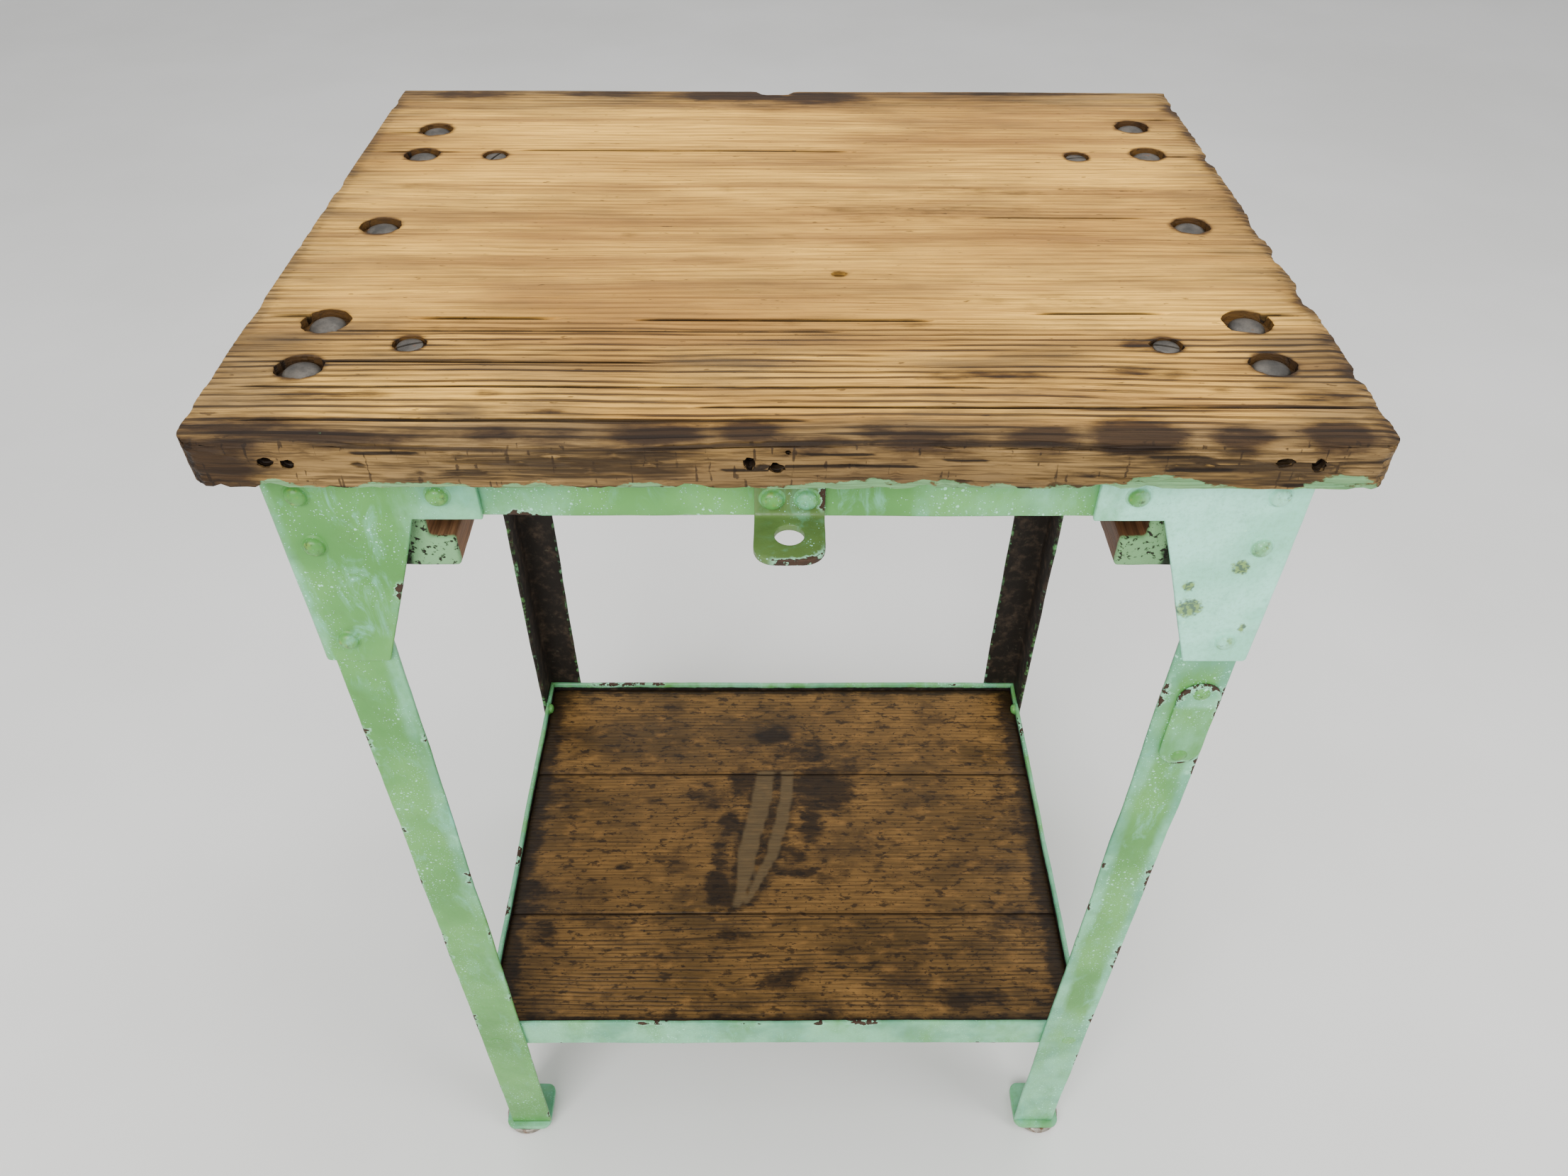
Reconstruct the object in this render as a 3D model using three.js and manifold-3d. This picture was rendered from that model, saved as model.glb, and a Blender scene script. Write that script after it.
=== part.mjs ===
// A small workbench: a riveted angle-iron frame carries a plank top, a lipped plank shelf, a pair
// of wooden drawer runners and a padlock hasp. Millimetres. X runs along the front, Y from the
// front to the back and Z up. The finished bench stands with the middle of its footprint at 0, 0, 0.
import * as THREE from "three";
import { mergeVertices } from "three/addons/utils/BufferGeometryUtils.js";
import Module from "manifold-3d";

// Overall sizes. The frame is measured over the outer faces of its legs.
const benchHeight = 900;
const frameWidth = 568;
const frameDepth = 437;
const seam = 0.3; // left between two pieces that touch

// Top boards, edge to edge with their grain along X.
const topThickness = 30;
const sideOverhang = 31;
const frontOverhang = 21;
const backOverhang = 39;
const frontBoardWidth = 135;
const backBoardWidth = 154;
const frontEdgeRadius = 6;

// Rolled angles.
const legSize = 40;
const legWall = 4;
const railSize = 35;
const railWall = 4;
const trayAngleSize = 40;
const trayWall = 4;
const rootRadius = 3;
const toeRadius = 2;

// Corner gussets, one bent plate round the top of each leg.
const gussetPlate = 4;
const gussetArm = 114; // from the leg's corner to the end of the arm
const gussetDrop = 148;
const gussetThroat = 74.5; // from the leg's corner to where arm and skirt meet
const gussetSkirt = 36.5; // width at the bottom

// Shelf.
const trayLipHeight = 222.5;
const plankThickness = 28;
const frontPlankWidth = 115;
const backPlankWidth = 127;
const plankGap = 1;

// Drawer runners, rabbeted battens on each side under the top.
const runnerDrop = 78; // of its lower face under the top
const runnerThickness = 38;
const runnerGap = 4; // to the side rail's flange
const ledgeThickness = 21;
const ledgeWidth = 15;
const runnerEnd = 6; // of the runner behind the frame's outer face, at both ends
const notchClearance = 1; // round the rail's flange

// Padlock hasp on the front rail.
const haspWidth = 39;
const haspPlate = 4;
const haspReach = 42; // in front of the legs
const haspDrop = 35;
const haspBendRadius = 3;
const haspCornerRadius = 12;
const haspEyeDiameter = 16.5;
const haspEyeReach = 21;
const haspRivetSpacing = 19;
const haspRivetDrop = 19.5;

// Blank oval plate on the right front leg.
const badgeWidth = 28;
const badgeHeight = 81;
const badgePlate = 2;
const badgeDrop = 213; // of its middle under the top
const badgeRivetSpacing = 63;

// Feet.
const footPlateSize = 46;
const footPlateThickness = 5;
const footPlateCornerRadius = 9;
const footPlateOutset = 6; // past the leg's outer faces
const glideDiameter = 46;
const glideHeight = 8;
const glideInset = 14; // of its centre from the leg's outer faces

// Fasteners.
const boltDiameter = 8;
const boltHeadDiameter = 21;
const boltHeadHeight = 4.5;
const boltHeadSink = 1;
const boltNeckDepth = 5;
const boltRecessDiameter = 24;
const nutAcrossFlats = 13;
const nutHeight = 6.5;
const threadEnd = 3; // past the nut
const screwHeadDiameter = 15;
const screwHeadRim = 1.5;
const screwHeadDepth = 6;
const screwHeadSink = 1.5;
const screwDiameter = 6;
const screwLength = 60;
const screwSlot = 1.6;
const rivetDiameter = 6;
const rivetHeadDiameter = 11;
const rivetHeadHeight = 3.2;
const rivetInset = 15.5; // from the leg's outer face
const smallRivetDiameter = 4;
const smallRivetHeadDiameter = 9;
const smallRivetHeadHeight = 2;

// Bolts through the side rails, and screws into the runners. A row's places are measured from the
// front, the middle or the back of the frame, which is from 0, 0.5 or 1.
const boltRows = [
  { name: "front", from: 0, left: 50, right: 55 },
  { name: "front_inner", from: 0, left: 100, right: 101 },
  { name: "middle", from: 0.5, left: 6, right: 9 },
  { name: "back_inner", from: 1, left: -94, right: -89 },
  { name: "back", from: 1, left: -46, right: -36 },
];
const boltInset = 14; // from the frame's outer face
const screwRows = [
  { name: "front", from: 0, along: 75 },
  { name: "back", from: 1, along: -95 },
];
const screwInset = 8.5; // behind the runner's upright face

// Sizes that follow from those above.
const underTop = benchHeight - topThickness;
const frameTop = underTop - seam;
const footPlateBottom = glideHeight + seam;
const legBottom = footPlateBottom + footPlateThickness + seam;
const trayInset = legWall + seam; // of the tray's outer face behind the legs' outer faces
const trayBottom = trayLipHeight - trayAngleSize;
const plankInset = trayInset + trayWall + 2 * seam;
const plankBottom = trayBottom + trayWall + seam;
const plankTop = plankBottom + plankThickness;
const plankChamfer = rootRadius + seam; // clears the root of the tray's angles
const runnerBottom = underTop - runnerDrop;
const runnerUpright = frameWidth / 2 - railSize - runnerGap - runnerThickness;
const badgeMiddleHeight = underTop - badgeDrop;
const boltHeadBase = benchHeight - boltHeadSink - boltHeadHeight;

const wasm = await Module();
wasm.setup();

const quarter = Math.PI / 2;
const paint = (color) => new THREE.MeshStandardMaterial({ color, roughness: 0.45, metalness: 0.1 });
const wood = (color) => new THREE.MeshStandardMaterial({ color, roughness: 0.75, metalness: 0 });
const steel = (color) => new THREE.MeshStandardMaterial({ color, roughness: 0.5, metalness: 0.8 });
const greenPaint = paint(0x86ab78);
const mintPaint = paint(0xa9c9b6);
const topWood = wood(0xb08a55);
const shelfWood = wood(0x5c3f22);
const runnerWood = wood(0x7b5a3c);
const greySteel = steel(0x7d8082);
const brightSteel = steel(0xb9b5ae);

// Booleans. A geometry becomes a solid, and the result becomes a geometry again.
function solidOf(geometry) {
  const bare = geometry.clone();
  bare.deleteAttribute("normal");
  bare.deleteAttribute("uv");
  const merged = mergeVertices(bare, 1e-4);
  return new wasm.Manifold(
    new wasm.Mesh({
      numProp: 3,
      vertProperties: merged.attributes.position.array,
      triVerts: new Uint32Array(merged.index.array),
    }),
  );
}

function geometryOf(solid) {
  const { vertProperties, triVerts } = solid.getMesh();
  const geometry = new THREE.BufferGeometry();
  geometry.setAttribute("position", new THREE.BufferAttribute(vertProperties, 3));
  geometry.setIndex(new THREE.BufferAttribute(triVerts, 1));
  geometry.computeVertexNormals();
  return geometry;
}

const cut = (body, tools) =>
  geometryOf(tools.reduce((left, tool) => left.subtract(solidOf(tool)), solidOf(body)));
const join = (bodies) =>
  geometryOf(bodies.map(solidOf).reduce((whole, body) => whole.add(body)));
const common = (one, other) => geometryOf(solidOf(one).intersect(solidOf(other)));

// A box from its lowest to its highest corner.
function box(low, high) {
  const size = high.map((value, axis) => value - low[axis]);
  const middle = high.map((value, axis) => (value + low[axis]) / 2);
  return new THREE.BoxGeometry(...size).translate(...middle);
}

// A prism of an outline in X and Y, from one height to another.
function prism(outline, bottom, top, curveSegments = 4) {
  const shape = Array.isArray(outline)
    ? new THREE.Shape(outline.map(([x, y]) => new THREE.Vector2(x, y)))
    : outline;
  const depth = top - bottom;
  return new THREE.ExtrudeGeometry(shape, { depth, bevelEnabled: false, curveSegments })
    .translate(0, 0, bottom);
}

// A round piece about Z, from a profile of radius and height that starts and ends on the axis.
const turned = (profile, segments = 16) =>
  new THREE.LatheGeometry(profile.map(([r, z]) => new THREE.Vector2(r, z)), segments)
    .rotateX(quarter);
const rod = (radius, bottom, top, segments = 12) =>
  turned([[0, bottom], [radius, bottom], [radius, top], [0, top]], segments);

// The points of a domed head, from its rim at one height up to its crown on the axis.
function dome(radius, height, base, steps = 4) {
  const points = [];
  for (let step = 0; step <= steps; step += 1) {
    const turn = (step / steps) * quarter;
    points.push([step === steps ? 0 : radius * Math.cos(turn), base + height * Math.sin(turn)]);
  }
  return points;
}

// A rectangle with round corners, its middle at 0, 0.
function roundedRectangle(width, height, radius) {
  const shape = new THREE.Shape();
  const right = width / 2 - radius;
  const top = height / 2 - radius;
  shape.absarc(right, top, radius, 0, quarter);
  shape.absarc(-right, top, radius, quarter, 2 * quarter);
  shape.absarc(-right, -top, radius, 2 * quarter, 3 * quarter);
  shape.absarc(right, -top, radius, 3 * quarter, 4 * quarter);
  return shape;
}

// The section of a rolled angle: outer corner at 0, 0, flanges along +X and +Y.
function angleSection(size, wall) {
  const shape = new THREE.Shape();
  shape.moveTo(0, 0);
  shape.lineTo(size, 0);
  shape.absarc(size - toeRadius, wall - toeRadius, toeRadius, 0, quarter);
  shape.absarc(wall + rootRadius, wall + rootRadius, rootRadius, 3 * quarter, 2 * quarter, true);
  shape.absarc(wall - toeRadius, size - toeRadius, toeRadius, 0, quarter);
  shape.lineTo(0, size);
  return shape;
}

const benchSpace = new THREE.Group();

function add(parent, name, geometry, material) {
  const mesh = new THREE.Mesh(geometry, material);
  mesh.name = name;
  parent.add(mesh);
  return mesh;
}

// A prism laid along X from a section in Y and Z, or along Y from a section in X and Z.
const [alongX, alongY, alongZ] = [0, 1, 2].map((axis) => new THREE.Vector3().setComponent(axis, 1));
const laidAlongX = new THREE.Matrix4().makeBasis(alongY, alongZ, alongX);
const laidAlongY = new THREE.Matrix4().makeBasis(alongX, alongZ, alongY.clone().negate());
const hungAlongX = new THREE.Matrix4().makeBasis(alongZ.clone().negate(), alongY, alongX);
const barAlongX = (outline, from, to) => prism(outline, from, to).applyMatrix4(laidAlongX);
const barAlongY = (outline, from, to) => prism(outline, -to, -from).applyMatrix4(laidAlongY);

// In a corner's group the leg's outer corner is at 0, 0 and the frame's two sides run off along +X
// and +Y. In a side's group the side's outer face is at Y 0 and its middle at X 0.
const corners = [
  { name: "front_left", x: -frameWidth / 2, y: 0, turn: 0 },
  { name: "front_right", x: frameWidth / 2, y: 0, turn: 1 },
  { name: "back_right", x: frameWidth / 2, y: frameDepth, turn: 2 },
  { name: "back_left", x: -frameWidth / 2, y: frameDepth, turn: 3 },
];
const sides = [
  { name: "front", x: 0, y: 0, turn: 0, span: frameWidth },
  { name: "right", x: frameWidth / 2, y: frameDepth / 2, turn: 1, span: frameDepth, boltSide: 1 },
  { name: "back", x: 0, y: frameDepth, turn: 2, span: frameWidth },
  { name: "left", x: -frameWidth / 2, y: frameDepth / 2, turn: 3, span: frameDepth, boltSide: -1 },
];

function placedGroup({ x, y, turn }) {
  const group = new THREE.Group();
  group.position.set(x, y, 0);
  group.rotation.z = turn * quarter;
  benchSpace.add(group);
  return group;
}

// Where the fasteners are.
const alongDepth = ({ from }, offset) => from * frameDepth + offset;
const boltPlaces = [-1, 1].flatMap((side) =>
  boltRows.map((row) => ({
    name: `top_bolt_${side < 0 ? "left" : "right"}_${row.name}`,
    side,
    x: side * (frameWidth / 2 - boltInset),
    y: alongDepth(row, side < 0 ? row.left : row.right),
  })),
);
const screwPlaces = [-1, 1].flatMap((side) =>
  screwRows.map((row) => ({
    name: `runner_screw_${side < 0 ? "left" : "right"}_${row.name}`,
    side,
    x: side * (runnerUpright + screwInset),
    y: alongDepth(row, row.along),
  })),
);
const gussetRivets = [
  { name: "upper", along: rivetInset, drop: 17 },
  { name: "arm", along: 92.5, drop: 17 },
  { name: "middle", along: rivetInset, drop: 53 },
  { name: "lower", along: rivetInset, drop: 129 },
];
const haspRivets = [-1, 1].map((side) => ({
  name: side < 0 ? "left" : "right",
  x: (side * haspRivetSpacing) / 2,
  z: frameTop - haspRivetDrop,
}));
const badgeRivets = [-1, 1].map((side) => ({
  name: side < 0 ? "lower" : "upper",
  x: frameWidth / 2 - rivetInset,
  z: badgeMiddleHeight + (side * badgeRivetSpacing) / 2,
}));

// A hole along Y through an upright flange.
const faceHole = (diameter, x, z) =>
  rod(diameter / 2 + seam, -20, 20).rotateX(quarter).translate(x, 0, z);

// The front wings' rivet holes in a corner's group. The front wing runs along +X in the left
// corner and along +Y in the right one.
function frontWingHoles({ name, turn }) {
  if (!name.startsWith("front")) return [];
  return gussetRivets.map(({ along, drop }) =>
    faceHole(rivetDiameter, along, frameTop - drop).rotateZ(turn * quarter));
}

// Legs.
function legGeometry(corner) {
  const leg = prism(angleSection(legSize, legWall), legBottom, frameTop);
  const badgeHoles = corner.name !== "front_right" ? [] : badgeRivets.map(({ z }) =>
    faceHole(smallRivetDiameter, rivetInset, z).rotateZ(quarter));
  return cut(leg, [...frontWingHoles(corner), ...badgeHoles]);
}

// A gusset: an angle with a rounded bend, cut away below each arm.
function gussetGeometry(corner) {
  const section = new THREE.Shape();
  section.absarc(0, 0, gussetPlate + seam, 2 * quarter, 3 * quarter);
  section.lineTo(gussetArm, -gussetPlate - seam);
  section.lineTo(gussetArm, -seam);
  section.absarc(0, 0, seam, 3 * quarter, 2 * quarter, true);
  section.lineTo(-seam, gussetArm);
  section.lineTo(-gussetPlate - seam, gussetArm);
  const past = 10;
  const bottom = -gussetDrop;
  const relief = [
    [gussetSkirt, bottom - past],
    [gussetArm + past, bottom - past],
    [gussetArm + past, -railSize],
    [gussetThroat, -railSize],
    [gussetSkirt, bottom],
  ];
  const besideFront = barAlongY(relief, -past, past).translate(0, 0, frameTop);
  const besideSide = barAlongY(relief, -past, past).translate(0, 0, frameTop).rotateZ(quarter);
  const plate = prism(section, frameTop - gussetDrop, frameTop);
  return cut(plate, [besideFront, besideSide, ...frontWingHoles(corner)]);
}

// A foot: a plate under the leg, standing on a round glide.
function addFoot(group, corner) {
  const plateMiddle = footPlateSize / 2 - footPlateOutset;
  const plateOutline = roundedRectangle(footPlateSize, footPlateSize, footPlateCornerRadius);
  add(group, `foot_plate_${corner.name}`,
    prism(plateOutline, footPlateBottom, footPlateBottom + footPlateThickness), mintPaint)
    .position.set(plateMiddle, plateMiddle, 0);
  const radius = glideDiameter / 2;
  const edge = glideHeight / 4;
  const profile = [
    [0, 0], [radius - 2 * edge, 0], [radius, edge], [radius, glideHeight - edge],
    [radius - edge, glideHeight], [0, glideHeight],
  ];
  add(group, `glide_${corner.name}`, turned(profile, 24), brightSteel)
    .position.set(glideInset, glideInset, 0);
}

for (const corner of corners) {
  const group = placedGroup(corner);
  add(group, `leg_${corner.name}`, legGeometry(corner), greenPaint);
  add(group, `gusset_${corner.name}`, gussetGeometry(corner), greenPaint);
  addFoot(group, corner);
}

// Top rails, butted between the legs. The side rails' flanges run on inside the legs, past the ends
// of the front and back rails, so their upright flanges are cut back at the legs.
function railGeometry({ boltSide, span }) {
  const flangeEnd = boltSide ? legWall + rootRadius + seam : Math.max(legSize, railSize) + seam;
  const uprightEnd = legSize + seam;
  const half = span / 2;
  const reach = half - Math.min(flangeEnd, uprightEnd);
  const past = 10; // how far a cutting box reaches past what it cuts
  const low = frameTop - railSize - past;
  const rail = prism(angleSection(railSize, railWall), -reach, reach)
    .applyMatrix4(hungAlongX)
    .translate(0, 0, frameTop);
  const copes = [-1, 1].flatMap((end) => {
    const beyond = (cutBack, fromY, toY) => {
      const [from, to] = [end * (half - cutBack), end * (half + past)].sort((a, b) => a - b);
      return box([from, fromY, low], [to, toY, frameTop + past]);
    };
    return [
      beyond(uprightEnd, -past, Math.max(railWall, legWall) + seam),
      beyond(flangeEnd, railWall, railSize + past),
    ];
  });
  return cut(rail, copes);
}

for (const side of sides) {
  const rail = railGeometry(side);
  const upright = side.name === "front"
    ? [
        ...haspRivets.map(({ x, z }) => faceHole(rivetDiameter, x, z)),
        ...[-1, 1].flatMap((end) =>
          gussetRivets
            .filter(({ along }) => along > legSize)
            .map(({ along, drop }) =>
              faceHole(rivetDiameter, end * (frameWidth / 2 - along), frameTop - drop))),
      ]
    : [];
  const flat = boltPlaces
    .filter((place) => place.side === side.boltSide)
    .map(({ x, y }) =>
      rod(boltDiameter / 2 + seam, underTop - railSize, benchHeight)
        .translate(x - side.x, y - side.y, 0)
        .rotateZ(-side.turn * quarter));
  add(placedGroup(side), `top_rail_${side.name}`, cut(rail, [...upright, ...flat]), greenPaint);
}

// The shelf's tray: four angles with their flanges up and inwards, mitred at the corners, the outer
// corner taken off to clear the root of the leg.
function trayRailGeometry({ span }) {
  const half = span / 2 - trayInset;
  const chamfer = rootRadius + seam;
  const past = trayAngleSize + 10;
  const mitre = [
    [half - chamfer - 1, -1],
    [half + past, -1],
    [half + past, past],
    [half - seam - past, past],
    [half - (chamfer + seam) / 2, (chamfer - seam) / 2],
  ];
  const mirrored = mitre.map(([x, y]) => [-x, y]);
  const ends = [mitre, mirrored].map((outline) => prism(outline, -1, trayAngleSize + 1));
  const rail = barAlongX(angleSection(trayAngleSize, trayWall), -half, half);
  return cut(rail, ends).translate(0, trayInset, trayBottom);
}

for (const side of sides)
  add(placedGroup(side), `tray_rail_${side.name}`, trayRailGeometry(side), greenPaint);

// Three shelf planks, cut from a deck whose lower edges are taken off all round.
function deckSection(from, to) {
  return [
    [from, plankBottom + plankChamfer], [from + plankChamfer, plankBottom],
    [to - plankChamfer, plankBottom], [to, plankBottom + plankChamfer],
    [to, plankTop], [from, plankTop],
  ];
}

const deckX = frameWidth / 2 - plankInset;
const deckFront = plankInset;
const deckBack = frameDepth - plankInset;
const deck = common(
  barAlongX(deckSection(deckFront, deckBack), -deckX, deckX),
  barAlongY(deckSection(-deckX, deckX), deckFront, deckBack),
);
const plankSpans = [
  ["front", deckFront, deckFront + frontPlankWidth],
  ["middle", deckFront + frontPlankWidth + plankGap, deckBack - backPlankWidth - plankGap],
  ["back", deckBack - backPlankWidth, deckBack],
];
for (const [name, from, to] of plankSpans) {
  const slab = box([-frameWidth, from, plankBottom - 1], [frameWidth, to, plankTop + 1]);
  add(benchSpace, `shelf_plank_${name}`, common(deck, slab), shelfWood);
}

// The recess, square neck and shank of a bolt, or the countersink and pilot of a screw, as holes.
function boltHole({ x, y }) {
  const neck = boltDiameter / 2 + seam;
  return join([
    rod(boltRecessDiameter / 2, boltHeadBase - seam, benchHeight + 1, 16),
    box([-neck, -neck, boltHeadBase - boltNeckDepth - seam], [neck, neck, benchHeight]),
    rod(neck, underTop - 1, benchHeight),
  ]).translate(x, y, 0);
}

function screwProfile(clearance, above) {
  const head = screwHeadDiameter / 2 + clearance;
  const shank = screwDiameter / 2 + clearance;
  return [
    [0, -screwLength - clearance], [shank, screwDiameter - screwLength - clearance],
    [shank, -screwHeadDepth - clearance], [head, -screwHeadRim - clearance],
    [head, above], [0, above],
  ];
}

const screwTop = benchHeight - screwHeadSink;
const screwHole = ({ x, y }) =>
  turned(screwProfile(seam, screwHeadSink + 1)).translate(x, y, screwTop);
const topHoles = [...boltPlaces.map(boltHole), ...screwPlaces.map(screwHole)];

// Top boards.
const boardFront = -frontOverhang;
const boardBack = frameDepth + backOverhang;
const boardSpans = [
  ["front", boardFront, boardFront + frontBoardWidth],
  ["middle", boardFront + frontBoardWidth + seam, boardBack - backBoardWidth - seam],
  ["back", boardBack - backBoardWidth, boardBack],
];

function boardSection(name, from, to) {
  const section = new THREE.Shape();
  section.moveTo(to, underTop);
  section.lineTo(to, benchHeight);
  if (name === "front") {
    const [y, z] = [from + frontEdgeRadius, benchHeight - frontEdgeRadius];
    section.absarc(y, z, frontEdgeRadius, quarter, 2 * quarter);
  } else {
    section.lineTo(from, benchHeight);
  }
  section.lineTo(from, underTop);
  return section;
}

for (const [name, from, to] of boardSpans) {
  const halfWidth = frameWidth / 2 + sideOverhang;
  const board = barAlongX(boardSection(name, from, to), -halfWidth, halfWidth);
  add(benchSpace, `top_board_${name}`, cut(board, topHoles), topWood);
}

// Drawer runners: an upright with a ledge along its inner lower edge, notched at both ends to pass
// under the rails' flanges.
for (const side of [-1, 1]) {
  const outline = [
    [runnerUpright - ledgeWidth, runnerBottom],
    [runnerUpright + runnerThickness, runnerBottom],
    [runnerUpright + runnerThickness, frameTop],
    [runnerUpright, frameTop],
    [runnerUpright, runnerBottom + ledgeThickness],
    [runnerUpright - ledgeWidth, runnerBottom + ledgeThickness],
  ].map(([x, z]) => [side * x, z]);
  const notchFloor = frameTop - railWall - rootRadius - notchClearance;
  const notchReach = railSize + notchClearance;
  const notch = (from, to) =>
    box([-frameWidth, from, notchFloor], [frameWidth, to, frameTop + 1]);
  const notches = [notch(-1, notchReach), notch(frameDepth - notchReach, frameDepth + 1)];
  const screws = screwPlaces.filter((place) => place.side === side).map(screwHole);
  add(benchSpace, `drawer_runner_${side < 0 ? "left" : "right"}`,
    cut(barAlongY(outline, runnerEnd, frameDepth - runnerEnd), [...notches, ...screws]), runnerWood);
}

// Hasp: a strap bent forwards, round at its front corners, with an eye for a padlock.
function haspGeometry() {
  const back = -seam;
  const face = back - haspPlate;
  const low = frameTop - haspDrop;
  const tabTop = low + haspPlate;
  const outer = haspBendRadius + haspPlate;
  const [bendY, bendZ] = [face - haspBendRadius, tabTop + haspBendRadius];
  const section = new THREE.Shape();
  section.moveTo(back, frameTop);
  section.lineTo(face, frameTop);
  section.absarc(bendY, bendZ, haspBendRadius, 0, -quarter, true);
  section.lineTo(-haspReach, tabTop);
  section.lineTo(-haspReach, low);
  section.absarc(bendY, bendZ, outer, -quarter, 0);
  const strap = barAlongX(section, -haspWidth / 2, haspWidth / 2);
  const planLength = 2 * haspReach;
  const plan = prism(roundedRectangle(haspWidth, planLength, haspCornerRadius), low - 1, frameTop + 1);
  const eye = rod(haspEyeDiameter / 2, low - 1, tabTop + 1, 20).translate(0, -haspEyeReach, 0);
  const rivetHoles = haspRivets.map(({ x, z }) => faceHole(rivetDiameter, x, z));
  return cut(common(strap, plan), [eye, ...rivetHoles]);
}

add(benchSpace, "padlock_hasp", haspGeometry(), greenPaint);

// The blank oval plate.
const badgeOutline = roundedRectangle(badgeWidth, badgeHeight, badgeWidth / 2 - 0.01);
const badge = cut(
  prism(badgeOutline, 0, badgePlate, 8),
  badgeRivets.map(({ z }) =>
    rod(smallRivetDiameter / 2 + seam, -1, badgePlate + 1).translate(0, z - badgeMiddleHeight, 0)),
);
const badgeMesh = add(benchSpace, "badge_plate", badge, greenPaint);
badgeMesh.rotation.x = quarter;
badgeMesh.position.set(frameWidth / 2 - rivetInset, -seam, badgeMiddleHeight);

// Fasteners. A bolt's origin is under its head, a screw's at the top of its head and a rivet's at
// the outer face of what it holds.
function boltGeometry() {
  const half = boltDiameter / 2;
  const nutTop = frameTop - railWall - seam - boltHeadBase;
  const end = nutTop - nutHeight - threadEnd;
  const body = turned([
    [0, end], [half, end], [half, 0], [boltHeadDiameter / 2, 0],
    ...dome(boltHeadDiameter / 2, boltHeadHeight, 0).slice(1),
  ]);
  const nutRadius = nutAcrossFlats / Math.sqrt(3);
  const nut = new THREE.CylinderGeometry(nutRadius, nutRadius, nutHeight, 6)
    .rotateX(quarter)
    .translate(0, 0, nutTop - nutHeight / 2);
  return join([body, box([-half, -half, -boltNeckDepth], [half, half, 0.5]), nut]);
}

function screwGeometry() {
  const slot = box([-screwHeadDiameter, -screwSlot / 2, -screwSlot], [screwHeadDiameter, screwSlot / 2, 1]);
  return cut(turned(screwProfile(0, 0)), [slot]);
}

function rivetGeometry(diameter, headDiameter, headHeight, grip) {
  const innerFace = -grip - seam;
  const inner = dome(headDiameter / 2, headHeight, 0, 2).map(([r, z]) => [r, innerFace - z]);
  const outer = dome(headDiameter / 2, headHeight, seam, 3);
  return turned([...inner.reverse(), [diameter / 2, innerFace], [diameter / 2, seam], ...outer], 12);
}

const bolt = boltGeometry();
for (const { name, x, y } of boltPlaces)
  add(benchSpace, name, bolt.clone(), greySteel).position.set(x, y, boltHeadBase);

const screw = screwGeometry();
for (const { name, x, y } of screwPlaces)
  add(benchSpace, name, screw.clone(), greySteel).position.set(x, y, screwTop);

function addFrontRivet(name, geometry, x, face, z) {
  const mesh = add(benchSpace, name, geometry.clone(), greenPaint);
  mesh.rotation.x = quarter;
  mesh.position.set(x, face, z);
}

const gussetGrip = gussetPlate + seam + legWall;
const gussetRivet = rivetGeometry(rivetDiameter, rivetHeadDiameter, rivetHeadHeight, gussetGrip);
for (const side of [-1, 1])
  for (const { name, along, drop } of gussetRivets)
    addFrontRivet(`gusset_rivet_${side < 0 ? "left" : "right"}_${name}`, gussetRivet,
      side * (frameWidth / 2 - along), -seam - gussetPlate, frameTop - drop);

const haspGrip = haspPlate + seam + railWall;
const haspRivet = rivetGeometry(rivetDiameter, rivetHeadDiameter, rivetHeadHeight, haspGrip);
for (const { name, x, z } of haspRivets)
  addFrontRivet(`hasp_rivet_${name}`, haspRivet, x, -seam - haspPlate, z);

const badgeGrip = badgePlate + seam + legWall;
const badgeRivet =
  rivetGeometry(smallRivetDiameter, smallRivetHeadDiameter, smallRivetHeadHeight, badgeGrip);
for (const { name, x, z } of badgeRivets)
  addFrontRivet(`badge_rivet_${name}`, badgeRivet, x, -seam - badgePlate, z);

// The origin is on the floor, under the middle of the whole bench.
const bench = new THREE.Group();
const frontmost = -Math.max(haspReach, frontOverhang);
benchSpace.position.y = -(frontmost + boardBack) / 2;
bench.add(benchSpace);

export default bench;
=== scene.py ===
import math
from types import SimpleNamespace

import bmesh
import bpy
import numpy as np
from mathutils import Matrix, Vector, noise


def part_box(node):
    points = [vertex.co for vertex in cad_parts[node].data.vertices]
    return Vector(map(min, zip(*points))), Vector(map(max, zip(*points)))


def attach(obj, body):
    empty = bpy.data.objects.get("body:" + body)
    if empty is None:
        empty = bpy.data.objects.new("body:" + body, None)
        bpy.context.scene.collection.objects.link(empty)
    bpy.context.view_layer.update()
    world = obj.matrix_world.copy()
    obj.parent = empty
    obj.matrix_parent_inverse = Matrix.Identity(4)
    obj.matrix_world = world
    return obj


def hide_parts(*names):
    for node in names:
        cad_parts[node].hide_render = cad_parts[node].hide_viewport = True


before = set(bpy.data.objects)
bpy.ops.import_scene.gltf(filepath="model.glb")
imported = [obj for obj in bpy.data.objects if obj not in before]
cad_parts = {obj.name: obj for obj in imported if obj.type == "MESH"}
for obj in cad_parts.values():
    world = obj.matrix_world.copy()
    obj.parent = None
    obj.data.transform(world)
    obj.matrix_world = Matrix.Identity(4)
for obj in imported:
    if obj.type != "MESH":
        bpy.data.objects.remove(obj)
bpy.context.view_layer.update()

# A riveted angle-iron workbench with a plank top and a plank shelf in a lipped tray. Metres, in the
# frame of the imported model: X along the front, Y from the front to the back, Z up.

MM = 0.001


def box_of(node):
    low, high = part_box(node)
    return Vector(low), Vector(high)


def middle_of(node):
    low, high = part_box(node)
    return tuple((a + b) / 2 for a, b in zip(low, high))


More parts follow.
